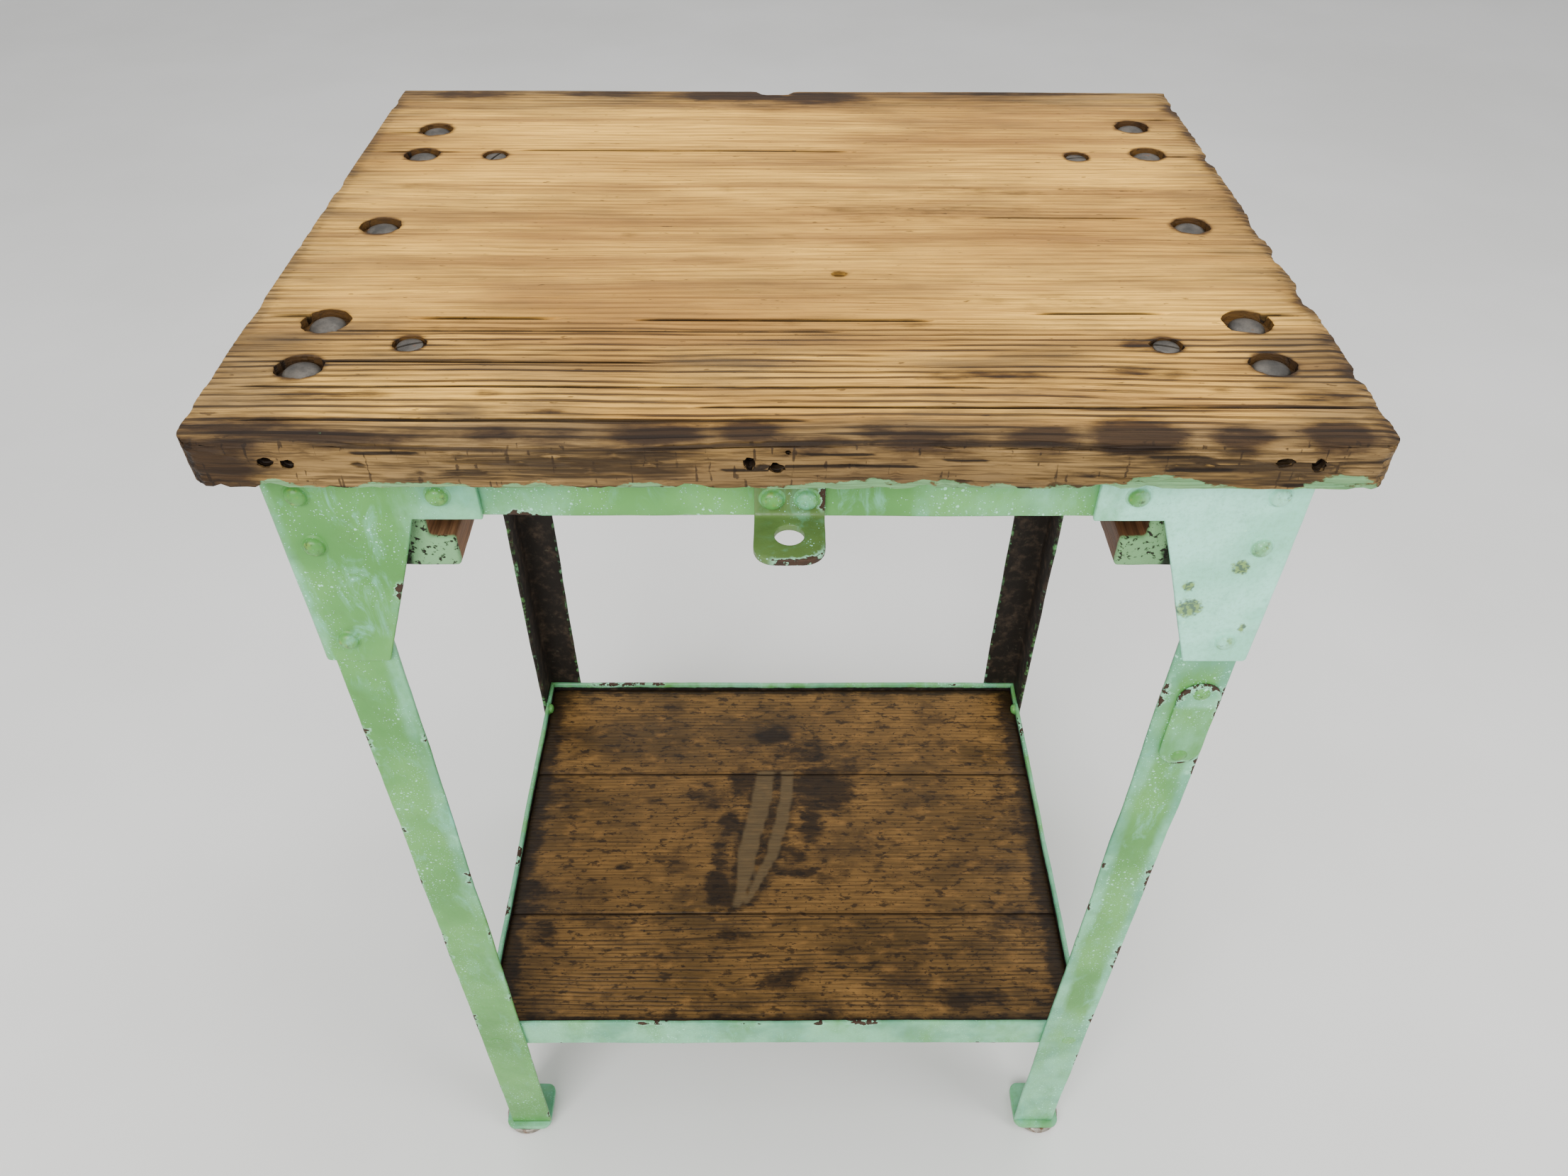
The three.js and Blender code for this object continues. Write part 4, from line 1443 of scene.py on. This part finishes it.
def make_runners(wood):
    for side, way in (("left", -1), ("right", 1)):
        runner = rabbeted_bar(side, way)
        soften(runner, 2.2 * MM, 3)
        slice_evenly(runner, 1, 9 * MM)
        slice_evenly(runner, 0, 5 * MM)
        slice_evenly(runner, 2, 5 * MM)
        front = box_of(f"drawer_runner_{side}")[0].y
        places = [vert.co for vert in runner.data.vertices]
        note(runner, "green", [1 - smoothstep(0, 5 * MM, place.y - front) for place in places])
        # The outer side of each runner, beside the frame, is noted as soot: this paints the shadow of
        # the gusset and rail, along with real soot.
        depths = [SHADE_AND_SOOT_EDGE - abs(place.x) for place in places]
        note(runner, "soot", [1 - smoothstep(-2 * MM, 17 * MM, depth) for depth in depths])
        lump(runner, paint_lumps, 0.7 * MM)
        lump(runner, hammer_marks, 1.0 * MM)
        smooth(runner, 45)
        settle(runner, "runner_wood", wood, f"drawer_runner_{side}")


# ---- Building finishes from nodes ----


def colour(red, green, blue):
    """A colour from its display values, 0 to 255."""
    def linear(value):
        share = value / 255
        return share / 12.92 if share <= 0.04045 else ((share + 0.055) / 1.055) ** 2.4
    return (linear(red), linear(green), linear(blue), 1.0)


def add(tree, kind, links=None, **settings):
    """Adds a shader node, and sets or links its inputs."""
    made = tree.nodes.new(kind)
    for key, value in settings.items():
        setattr(made, key, value)
    for key, value in (links or {}).items():
        if isinstance(value, bpy.types.NodeSocket):
            tree.links.new(value, made.inputs[key])
        else:
            made.inputs[key].default_value = value
    return made


def maths(tree, operation, one, other=0.0, clamp=False):
    made = add(tree, "ShaderNodeMath", {0: one, 1: other}, operation=operation, use_clamp=clamp)
    return made.outputs[0]


def eased(tree, value, low, high, to_low=0.0, to_high=1.0):
    links = {0: value, 1: low, 2: high, 3: to_low, 4: to_high}
    made = add(tree, "ShaderNodeMapRange", links, interpolation_type="SMOOTHSTEP")
    return made.outputs[0]


def blend(tree, share, under, over, mode="MIX"):
    links = {0: share, 6: under, 7: over}
    made = add(tree, "ShaderNodeMix", links, data_type="RGBA", blend_type=mode)
    return made.outputs[2]


def between(tree, share, low, high):
    links = {0: share, 2: low, 3: high}
    return add(tree, "ShaderNodeMix", links).outputs[0]


def glaze(tree, amount, strength, under, over):
    """Lays one colour over another by an amount times its strength."""
    return blend(tree, maths(tree, "MULTIPLY", amount, strength), under, over)


def stretched(tree, vector, scale):
    return add(tree, "ShaderNodeMapping", {"Vector": vector, "Scale": scale}).outputs[0]


def mottle(tree, vector, scale, detail=3.0, roughness=0.55, distortion=0.0):
    links = {"Vector": vector, "Scale": scale, "Detail": detail, "Roughness": roughness}
    links["Distortion"] = distortion
    return add(tree, "ShaderNodeTexNoise", links).outputs[0]


def noted(tree, name):
    return add(tree, "ShaderNodeAttribute", attribute_name=name).outputs["Fac"]


def new_group(name, inputs, outputs):
    """A node group with its inputs and outputs, each a name, a kind and a value."""
    group = bpy.data.node_groups.new(name, "ShaderNodeTree")
    for label, kind, value in inputs:
        socket = group.interface.new_socket(label, in_out="INPUT", socket_type=f"NodeSocket{kind}")
        if value is not None:
            socket.default_value = value
    for label, kind in outputs:
        group.interface.new_socket(label, in_out="OUTPUT", socket_type=f"NodeSocket{kind}")
    source = group.nodes.new("NodeGroupInput")
    sink = group.nodes.new("NodeGroupOutput")
    return group, source.outputs, sink.inputs


def ragged_mask_group():
    """Turns a soft amount into a patch with a torn border."""
    group, given, result = new_group(
        "ragged_mask",
        [("Amount", "Float", 0.5), ("Vector", "Vector", None), ("Grain", "Float", 60.0),
         ("Tear", "Float", 0.8), ("Softness", "Float", 0.06)],
        [("Mask", "Float")],
    )
    cloud = mottle(group, given["Vector"], given["Grain"], 6.0, 0.62)
    torn = maths(group, "MULTIPLY", maths(group, "SUBTRACT", cloud, 0.5), given["Tear"])
    total = maths(group, "ADD", given["Amount"], torn)
    low = maths(group, "SUBTRACT", 0.5, given["Softness"])
    high = maths(group, "ADD", 0.5, given["Softness"])
    group.links.new(eased(group, total, low, high), result["Mask"])
    return group


def edge_chip_group():
    """Where a coat has chipped back from an edge, and the pale rim of the coat round it."""
    group, given, result = new_group(
        "edge_chips",
        [("Distance", "Float", 0.01), ("Vector", "Vector", None), ("Reach", "Float", 0.006),
         ("Share", "Float", 0.5)],
        [("Bare", "Float"), ("Rim", "Float")],
    )
    patches = mottle(group, given["Vector"], 24.0, 2.0, 0.5)
    ragged = mottle(group, given["Vector"], 190.0, 4.0, 0.6)
    floor = maths(group, "SUBTRACT", 0.82, maths(group, "MULTIPLY", given["Share"], 0.5))
    here = eased(group, patches, floor, maths(group, "ADD", floor, 0.1))
    wide = maths(group, "MULTIPLY", here, eased(group, ragged, 0.36, 0.68))
    reach = maths(group, "MULTIPLY", wide, given["Reach"])
    short = maths(group, "SUBTRACT", reach, given["Distance"])
    bare = eased(group, short, -0.0001, 0.0003)
    rim = eased(group, short, -0.0028, -0.0004)
    on_edge = maths(group, "MULTIPLY", rim, here)
    group.links.new(bare, result["Bare"])
    group.links.new(on_edge, result["Rim"])
    return group


def softwood_group():
    """Rings and fibre of a sawn softwood board whose grain runs along X."""
    group, given, result = new_group(
        "softwood",
        [("Vector", "Vector", None), ("Ring Gap", "Float", 57.0), ("Wobble", "Float", 0.004)],
        [("Rings", "Float"), ("Fibre", "Float"), ("Flame", "Float")],
    )
    drift = stretched(group, given["Vector"], (2.2, 9.0, 9.0))
    sway = add(group, "ShaderNodeTexNoise", {"Vector": drift, "Scale": 1.0, "Detail": 2.0})
    slide = maths(group, "MULTIPLY", maths(group, "SUBTRACT", sway.outputs[0], 0.5), given["Wobble"])
    shift = add(group, "ShaderNodeCombineXYZ", {0: 0.0, 1: slide, 2: slide}).outputs[0]
    bent = add(group, "ShaderNodeVectorMath", {0: given["Vector"], 1: shift}, operation="ADD").outputs[0]
    links = {"Vector": bent, "Scale": given["Ring Gap"], "Distortion": 1.4, "Detail": 2.0}
    links["Detail Scale"] = 0.35
    bands = add(group, "ShaderNodeTexWave", links, wave_type="BANDS", bands_direction="Y")
    rings = eased(group, bands.outputs["Fac"], 0.42, 0.92)
    broken = mottle(group, stretched(group, bent, (9.0, 240.0, 240.0)), 1.0, 3.0)
    rings_broken = maths(group, "MULTIPLY", rings, eased(group, broken, 0.32, 0.6))
    fibre = mottle(group, stretched(group, bent, (14.0, 900.0, 900.0)), 1.0, 4.0, 0.6)
    flame = mottle(group, stretched(group, bent, (3.0, 60.0, 60.0)), 1.0, 4.0, 0.6)
    group.links.new(rings_broken, result["Rings"])
    group.links.new(fibre, result["Fibre"])
    group.links.new(flame, result["Flame"])
    return group


def speck_group():
    """Small round spatters, gathered in drifts."""
    group, given, result = new_group(
        "spatter",
        [("Vector", "Vector", None), ("Grain", "Float", 240.0), ("Share", "Float", 0.5)],
        [("Mask", "Float")],
    )
    cells = add(
        group, "ShaderNodeTexVoronoi", {"Vector": given["Vector"], "Scale": given["Grain"]}
    )
    size = maths(group, "MULTIPLY", mottle(group, given["Vector"], 420.0, 1.0), 0.42)
    drifts = mottle(group, given["Vector"], 26.0, 3.0, 0.6)
    floor = maths(group, "SUBTRACT", 0.85, maths(group, "MULTIPLY", given["Share"], 0.6))
    here = eased(group, drifts, floor, maths(group, "ADD", floor, 0.16))
    radius = maths(group, "MULTIPLY", size, here)
    inside = maths(group, "SUBTRACT", radius, cells.outputs["Distance"])
    group.links.new(eased(group, inside, -0.02, 0.05), result["Mask"])
    return group


RAGGED = ragged_mask_group()
CHIPS = edge_chip_group()
SOFTWOOD = softwood_group()
SPECKS = speck_group()


def use(tree, group, links):
    made = tree.nodes.new("ShaderNodeGroup")
    made.node_tree = group
    for key, value in links.items():
        if isinstance(value, bpy.types.NodeSocket):
            tree.links.new(value, made.inputs[key])
        else:
            made.inputs[key].default_value = value
    return made.outputs


def torn(tree, amount, vector, grain, tear=0.8, softness=0.06):
    links = {"Amount": amount, "Vector": vector, "Grain": grain, "Tear": tear, "Softness": softness}
    return use(tree, RAGGED, links)["Mask"]


def new_finish(name, shine=0.5):
    material = bpy.data.materials.new(name)
    material.use_nodes = True
    tree = material.node_tree
    shader = tree.nodes["Principled BSDF"]
    shader.inputs["Specular IOR Level"].default_value = shine
    place = add(tree, "ShaderNodeTexCoord").outputs["Object"]
    return material, tree, shader, place


def bump(tree, shader, height, distance, strength=1.0):
    links = {"Height": height, "Distance": distance, "Strength": strength}
    tree.links.new(add(tree, "ShaderNodeBump", links).outputs[0], shader.inputs["Normal"])


# ---- Finishes ----


def hollow_steel(tree, place):
    """The hollow sides: black-brown primer and dirt, with pale dust."""
    # The overspray that reaches in from the toes is laid over this by the torn hollow mask in
    # frame_paint.
    dusty = eased(tree, mottle(tree, place, 90.0, 5.0, 0.65), 0.45, 0.75)
    steel = blend(tree, dusty, colour(26, 20, 14), colour(66, 54, 42))
    pale_dust = eased(tree, mottle(tree, place, 160.0, 5.0, 0.7), 0.62, 0.72)
    steel = glaze(tree, pale_dust, 0.3, steel, colour(110, 106, 88))
    return steel


def spattered(tree, place, paint):
    """Two sizes of pale spatter, then patches of grime."""
    for grain, share, strength in ((235.0, 0.62, 0.75), (520.0, 0.8, 0.6)):
        specks = use(tree, SPECKS, {"Vector": place, "Grain": grain, "Share": share})["Mask"]
        paint = glaze(tree, specks, strength, paint, colour(168, 238, 206))
    grime = eased(tree, mottle(tree, place, 46.0, 5.0, 0.65), 0.54, 0.8)
    paint = glaze(tree, grime, 0.3, paint, colour(70, 88, 44))
    return specks, paint


def two_coats(tree, place, fine, greens, pales, mint_lean, wisp_share):
    """Green under a torn pale coat, with brushed wisps, and how much of the pale coat there is."""
    slow = mottle(tree, place, 13.0, 3.0)
    wisp_place = stretched(tree, place, (1.0, 1.0, 0.42))
    green = blend(tree, eased(tree, slow, 0.3, 0.7), *greens)
    mint = blend(tree, eased(tree, mottle(tree, place, 21.0, 4.0), 0.35, 0.65), *pales)
    lean = maths(tree, "ADD", noted(tree, "mint"), mint_lean)
    coat = torn(tree, lean, wisp_place, 34.0, 1.3, 0.3)
    coat = maths(tree, "MULTIPLY", coat, eased(tree, fine, 0.25, 0.6, 0.8, 1.0))
    paint = blend(tree, coat, green, mint)
    wisps = eased(tree, mottle(tree, wisp_place, 74.0, 7.0, 0.7, 0.9), 0.5, 0.72)
    drift = eased(tree, mottle(tree, place, 17.0, 2.0), 0.4, 0.66)
    wisp = maths(tree, "MULTIPLY", maths(tree, "MULTIPLY", wisps, drift), wisp_share)
    paint = blend(tree, wisp, paint, colour(116, 194, 166))
    return paint, coat


def frame_paint(name, greens, pales, chip_share, chip_reach, mint_lean=0.0, wisp_share=0.7):
    """Green brushed enamel with a bluish pale coat over or under it, chipped at its edges, and
    bare dark steel on the hollow sides."""
    material, tree, shader, place = new_finish(name, 0.32)
    fine = mottle(tree, place, 330.0, 3.0, 0.6)
    paint, coat = two_coats(tree, place, fine, greens, pales, mint_lean, wisp_share)
    specks, paint = spattered(tree, place, paint)
    scar = torn(tree, noted(tree, "scar"), place, 260.0, 1.2, 0.16)
    old_coat = blend(tree, eased(tree, fine, 0.44, 0.56), colour(122, 150, 58), colour(56, 62, 34))
    paint = glaze(tree, scar, 0.85, paint, old_coat)
    gap = noted(tree, "edge")
    links = {"Distance": gap, "Vector": place, "Reach": chip_reach, "Share": chip_share}
    chips = use(tree, CHIPS, links)
    paint = glaze(tree, chips["Rim"], 0.6, paint, colour(160, 226, 190))
    nicks = eased(tree, mottle(tree, place, 62.0, 4.0, 0.6), 0.735, 0.75)
    rust = blend(tree, fine, colour(30, 21, 14), colour(72, 48, 30))
    bare = maths(tree, "MAXIMUM", chips["Bare"], nicks)
    paint = blend(tree, bare, paint, rust)
    steel = hollow_steel(tree, place)
    hollow = torn(tree, noted(tree, "inside"), place, 130.0, 0.5)
    paint = blend(tree, hollow, paint, steel)
    tree.links.new(paint, shader.inputs["Base Color"])
    matt = maths(tree, "MAXIMUM", bare, hollow)
    sheen = eased(tree, fine, 0.2, 0.8, 0.3, 0.44)
    gloss = between(tree, matt, sheen, 0.68)
    tree.links.new(gloss, shader.inputs["Roughness"])
    brushed = mottle(tree, stretched(tree, place, (1.0, 1.0, 0.5)), 150.0, 3.0, 0.5)
    height = maths(tree, "MULTIPLY", brushed, 0.7)
    height = maths(tree, "ADD", height, maths(tree, "MULTIPLY", coat, 0.35))
    height = maths(tree, "ADD", height, maths(tree, "MULTIPLY", specks, 0.3))
    height = maths(tree, "SUBTRACT", height, maths(tree, "MULTIPLY", matt, 0.8))
    bump(tree, shader, height, 0.0009, 0.8)
    return material


def front_lines(tree, place):
    """The short cracks across the front face and the dark layers along it."""
    front = noted(tree, "facing")
    cracks = eased(tree, mottle(tree, stretched(tree, place, (300, 300, 34)), 1.0, 2.0, 0.5), 0.62, 0.68)
    layers = eased(tree, mottle(tree, stretched(tree, place, (16, 16, 420)), 1.0, 3.0, 0.6), 0.5, 0.62)
    cracks = maths(tree, "MULTIPLY", cracks, 0.8)
    layers = maths(tree, "MULTIPLY", layers, 0.62)
    lines = maths(tree, "MULTIPLY", maths(tree, "MAXIMUM", cracks, layers), front)
    return lines


def green_smear(tree, place, fibre):
    """The frame's paint on the wood: its share and its colour."""
    smear_amount = maths(tree, "MULTIPLY", noted(tree, "green"), 0.74)
    smear = torn(tree, smear_amount, stretched(tree, place, (110, 110, 240)), 1.0, 1.9, 0.1)
    paint = blend(tree, fibre, colour(112, 160, 112), colour(78, 104, 64))
    return smear, paint


def top_wood():
    """Honey softwood, sanded pale in the middle and left rough, brown and scorched at its edges."""
    material, tree, shader, place = new_finish("sanded_top_wood", 0.14)
    coarse = noted(tree, "coarse")
    worn = noted(tree, "worn")
    grain = use(tree, SOFTWOOD, {"Vector": place, "Ring Gap": 54.0, "Wobble": 0.02})
    slow = mottle(tree, stretched(tree, place, (4.0, 13.0, 13.0)), 1.0, 4.0)
    honey = blend(tree, eased(tree, slow, 0.32, 0.68), colour(184, 134, 60), colour(252, 194, 84))
    honey = blend(tree, eased(tree, grain["Flame"], 0.42, 0.66, 0.0, 0.7), honey, colour(150, 106, 54))
    fibre = eased(tree, grain["Fibre"], 0.42, 0.66, 0.0, 0.55)
    honey = blend(tree, fibre, honey, colour(122, 88, 46))
    depth = between(tree, coarse, 0.3, 0.92)
    wood = glaze(tree, grain["Rings"], depth, honey, colour(62, 43, 25))
    haze_place = stretched(tree, place, (7, 24, 24))
    haze = eased(tree, mottle(tree, haze_place, 1.0, 6.0, 0.65), 0.46, 0.7)
    haze_share = between(tree, coarse, 0.34, 0.85)
    wood = glaze(tree, haze, haze_share, wood, colour(94, 76, 52))
    tired_place = stretched(tree, place, (10, 60, 60))
    tired = torn(tree, maths(tree, "MULTIPLY", worn, 0.95), tired_place, 1.0, 1.3, 0.45)
    brown = blend(tree, eased(tree, slow, 0.35, 0.65), colour(84, 66, 44), colour(134, 108, 70))
    brown = blend(tree, fibre, brown, colour(52, 39, 25))
    brown = glaze(tree, grain["Rings"], 0.85, brown, colour(34, 25, 16))
    wood = glaze(tree, tired, 0.9, wood, brown)
    flecks = eased(tree, mottle(tree, stretched(tree, place, (90, 300, 300)), 1.0, 3.0), 0.66, 0.73)
    wood = glaze(tree, flecks, 0.7, wood, colour(54, 38, 24))
    lines = front_lines(tree, place)
    wood = blend(tree, lines, wood, colour(46, 34, 22))
    stain_place = stretched(tree, place, (46, 170, 170))
    stain = torn(tree, noted(tree, "stain"), stain_place, 1.0, 1.3, 0.42)
    scorched = blend(tree, 1.0, wood, colour(106, 92, 92), "MULTIPLY")
    soot = blend(tree, grain["Fibre"], colour(22, 17, 14), colour(56, 44, 34))
    scorched = blend(tree, 0.45, scorched, soot)
    wood = glaze(tree, stain, 0.94, wood, scorched)
    split = eased(tree, noted(tree, "split"), 0.15, 0.6)
    wood = glaze(tree, split, 0.92, wood, colour(24, 16, 10))
    smear, paint = green_smear(tree, place, fibre)
    wood = glaze(tree, smear, 0.88, wood, paint)
    tree.links.new(wood, shader.inputs["Base Color"])
    dull = eased(tree, grain["Fibre"], 0.3, 0.7, 0.5, 0.68)
    tree.links.new(dull, shader.inputs["Roughness"])
    height = maths(tree, "MULTIPLY", grain["Fibre"], 0.5)
    height = maths(tree, "SUBTRACT", height, maths(tree, "MULTIPLY", grain["Rings"], depth))
    height = maths(tree, "ADD", height, maths(tree, "MULTIPLY", smear, 0.3))
    bump(tree, shader, height, 0.001, 0.9)
    return material


def shelf_wood():
    """Oiled dark softwood, black where it was never cleaned."""
    material, tree, shader, place = new_finish("oiled_shelf_wood", 0.18)
    grain = use(tree, SOFTWOOD, {"Vector": place, "Ring Gap": 70.0, "Wobble": 0.02})
    coarse = noted(tree, "coarse")
    slow = mottle(tree, stretched(tree, place, (9, 16, 16)), 1.0, 4.0)
    amber = blend(tree, eased(tree, slow, 0.32, 0.68), colour(80, 60, 31), colour(126, 94, 50))
    fibre = eased(tree, grain["Fibre"], 0.4, 0.68, 0.0, 0.6)
    amber = blend(tree, fibre, amber, colour(56, 41, 22))
    depth = between(tree, coarse, 0.2, 0.8)
    wood = glaze(tree, grain["Rings"], depth, amber, colour(36, 26, 15))
    glow = eased(tree, mottle(tree, stretched(tree, place, (38, 80, 80)), 1.0, 4.0, 0.6), 0.52, 0.74)
    wood = glaze(tree, glow, 0.45, wood, colour(150, 110, 58))
    dabs = eased(tree, mottle(tree, stretched(tree, place, (64, 140, 140)), 1.0, 6.0, 0.65), 0.54, 0.62)
    wood = glaze(tree, dabs, 0.78, wood, colour(33, 24, 15))
    dots = eased(tree, mottle(tree, stretched(tree, place, (190, 330, 330)), 1.0, 3.0, 0.6), 0.62, 0.68)
    wood = glaze(tree, dots, 0.8, wood, colour(26, 19, 13))
    blots = eased(tree, mottle(tree, stretched(tree, place, (16, 26, 26)), 1.0, 6.0, 0.7), 0.5, 0.68)
    wood = glaze(tree, blots, 0.6, wood, colour(38, 28, 18))
    stain = torn(tree, noted(tree, "stain"), stretched(tree, place, (40, 84, 84)), 1.0, 2.3, 0.34)
    wood = glaze(tree, stain, 0.86, wood, colour(25, 18, 12))
    rubbed = blend(tree, fibre, colour(96, 80, 54), colour(70, 57, 38))
    scrape = torn(tree, noted(tree, "green"), stretched(tree, place, (90, 26, 60)), 1.0, 0.6, 0.35)
    wood = glaze(tree, scrape, 0.8, wood, rubbed)
    seam = maths(tree, "MULTIPLY", noted(tree, "split"), 0.7)
    wood = blend(tree, seam, wood, colour(24, 16, 10))
    tree.links.new(wood, shader.inputs["Base Color"])
    dull = eased(tree, slow, 0.3, 0.7, 0.36, 0.52)
    tree.links.new(dull, shader.inputs["Roughness"])
    height = maths(tree, "MULTIPLY", grain["Fibre"], 0.5)
    height = maths(tree, "SUBTRACT", height, maths(tree, "MULTIPLY", grain["Rings"], depth))
    bump(tree, shader, height, 0.0006, 0.7)
    return material


def runner_wood():
    """Brown battens, their ends caught by the frame's paint, and their outer sides painted near black:
    painted shadow of the gusset and rail, along with soot.
    """
    material, tree, shader, place = new_finish("runner_batten_wood", 0.15)
    turned_grain = add(
        tree, "ShaderNodeMapping", {"Vector": place, "Rotation": (0, 0, QUARTER)}
    ).outputs[0]
    grain = use(tree, SOFTWOOD, {"Vector": turned_grain, "Ring Gap": 60.0, "Wobble": 0.015})
    slow = mottle(tree, place, 12.0, 3.0)
    brown = blend(tree, eased(tree, slow, 0.3, 0.7), colour(96, 66, 44), colour(138, 102, 72))
    fibre = eased(tree, grain["Fibre"], 0.4, 0.7, 0.0, 0.6)
    brown = blend(tree, fibre, brown, colour(64, 44, 30))
    wood = glaze(tree, grain["Rings"], 0.6, brown, colour(56, 38, 26))
    green = torn(tree, noted(tree, "green"), place, 60.0, 0.45, 0.1)
    paint = blend(tree, slow, colour(98, 138, 84), colour(132, 178, 134))
    spots = eased(tree, mottle(tree, place, 330.0, 3.0, 0.6), 0.54, 0.64)
    paint = blend(tree, spots, paint, colour(34, 30, 24))
    wood = blend(tree, green, wood, paint)
    # The soot note paints the outer side near black: painted shadow, along with soot.
    soot = torn(tree, noted(tree, "soot"), place, 110.0, 0.7, 0.14)
    wood = glaze(tree, soot, 0.93, wood, colour(20, 16, 13))
    tree.links.new(wood, shader.inputs["Base Color"])
    dull = eased(tree, slow, 0.3, 0.7, 0.5, 0.7)
    tree.links.new(dull, shader.inputs["Roughness"])
    bump(tree, shader, grain["Fibre"], 0.0006, 0.6)
    return material


def grey_steel(name, dark, light, rust_share, metal=0.75):
    """Old unpainted steel, dull, rusted in its hollows."""
    material, tree, shader, place = new_finish(name)
    slow = mottle(tree, place, 90.0, 4.0, 0.6)
    fine = mottle(tree, place, 900.0, 3.0, 0.6)
    steel = blend(tree, eased(tree, slow, 0.3, 0.7), dark, light)
    steel = blend(tree, eased(tree, fine, 0.45, 0.75, 0.0, 0.35), steel, colour(60, 54, 50))
    rust_floor = 0.72 - 0.3 * rust_share
    rusty = eased(tree, mottle(tree, place, 150.0, 5.0, 0.65), rust_floor, rust_floor + 0.14)
    rust = blend(tree, fine, colour(70, 42, 26), colour(120, 82, 52))
    tree.links.new(blend(tree, rusty, steel, rust), shader.inputs["Base Color"])
    metallic = between(tree, rusty, metal, 0.1)
    tree.links.new(metallic, shader.inputs["Metallic"])
    dull = between(tree, rusty, 0.45, 0.8)
    scuffed = maths(tree, "ADD", dull, eased(tree, fine, 0.3, 0.7, -0.06, 0.08), clamp=True)
    tree.links.new(scuffed, shader.inputs["Roughness"])
    height = maths(tree, "ADD", slow, maths(tree, "MULTIPLY", fine, 0.35))
    bump(tree, shader, height, 0.0003, 0.6)
    return material


# ---- Floor, light and camera ----


def make_floor():
    bpy.ops.mesh.primitive_plane_add(size=14, location=(0, 2.0, 0))
    floor = named("studio_floor")
    apply_place(floor)
    material, tree, shader, place = new_finish("studio_floor")
    tone = mottle(tree, place, 1.3, 4.0)
    pale = blend(tree, eased(tree, tone, 0.3, 0.7), colour(222, 221, 217), colour(230, 229, 226))
    tree.links.new(pale, shader.inputs["Base Color"])
    shader.inputs["Roughness"].default_value = 0.75
    floor.data.materials.append(material)


LIT_POINT = Vector((0, 0, 0.5))
EYE_POINT = (-0.0065, -0.707, 1.2353)
LENS = 25.93
PITCH, YAW, ROLL = (math.radians(angle) for angle in (42.898, 0.47, 0.37))


def softbox(name, place, size, power):
    light = bpy.data.lights.new(name, "AREA")
    light.shape = "RECTANGLE"
    light.size, light.size_y = size
    light.energy = power
    lamp = bpy.data.objects.new(name, light)
    bpy.context.scene.collection.objects.link(lamp)
    lamp.location = place
    lamp.rotation_euler = (LIT_POINT - Vector(place)).to_track_quat("-Z", "Y").to_euler()


def light_studio():
    world = bpy.data.worlds.new("studio_air")
    bpy.context.scene.world = world
    world.use_nodes = True
    air = world.node_tree.nodes["Background"]
    air.inputs["Color"].default_value = (0.97, 0.98, 1.0, 1)
    air.inputs["Strength"].default_value = 0.7
    softbox("ceiling_softbox", (0.2, 0.6, 3.4), (3.2, 2.6), 70)
    softbox("front_softbox", (-1.0, -2.5, 2.6), (2.2, 1.6), 118)
    softbox("right_softbox", (2.6, -1.4, 2.0), (1.4, 1.6), 44)


def place_camera():
    camera = bpy.data.cameras.new("bench_camera")
    camera.sensor_width = 36
    camera.lens = LENS
    eye = bpy.data.objects.new("bench_camera", camera)
    bpy.context.scene.collection.objects.link(eye)
    ahead = Vector(
        (math.sin(YAW) * math.cos(PITCH), math.cos(YAW) * math.cos(PITCH), -math.sin(PITCH))
    )
    level = Vector((math.cos(YAW), -math.sin(YAW), 0))
    above = level.cross(ahead)
    right = level * math.cos(ROLL) + above * math.sin(ROLL)
    up = above * math.cos(ROLL) - level * math.sin(ROLL)
    turn = Matrix((right, up, -ahead)).transposed()
    eye.matrix_world = Matrix.Translation(EYE_POINT) @ turn.to_4x4()
    bpy.context.scene.camera = eye


# ---- The bench ----

GREENS = (colour(78, 138, 64), colour(102, 166, 86))
OLIVES = (colour(76, 100, 50), colour(98, 130, 70))
JADES = (colour(92, 158, 124), colour(128, 198, 156))
MINTS = (colour(146, 218, 188), colour(170, 240, 216))
green_paint = frame_paint("green_enamel", GREENS, JADES, 0.5, 5 * MM)
mint_paint = frame_paint("mint_enamel", GREENS, MINTS, 0.2, 3 * MM, 0.05, 0.3)
hasp_paint = frame_paint("olive_enamel", OLIVES, JADES, 0.62, 4 * MM, -0.3, 0.3)
bolt_steel = grey_steel("bolt_steel", colour(50, 47, 42), colour(88, 82, 74), 0.4, 0.3)
glide_steel = grey_steel("glide_steel", colour(120, 112, 102), colour(176, 168, 156), 0.75, 0.6)
bench_top_wood = top_wood()
bench_shelf_wood = shelf_wood()
bench_runner_wood = runner_wood()

make_legs(green_paint)
make_top_rails(green_paint)
make_tray_rails(green_paint)
make_gussets(green_paint, mint_paint)
make_gusset_rivets(green_paint, mint_paint)
make_small_rivets(green_paint)
make_tray_rivets(green_paint)
make_bolts(bolt_steel)
make_screws(bolt_steel)
make_hasp(hasp_paint)
make_badge(green_paint)
make_feet(green_paint, glide_steel)
make_top_boards(bench_top_wood)
make_shelf(bench_shelf_wood)
make_runners(bench_runner_wood)

make_floor()
light_studio()
place_camera()
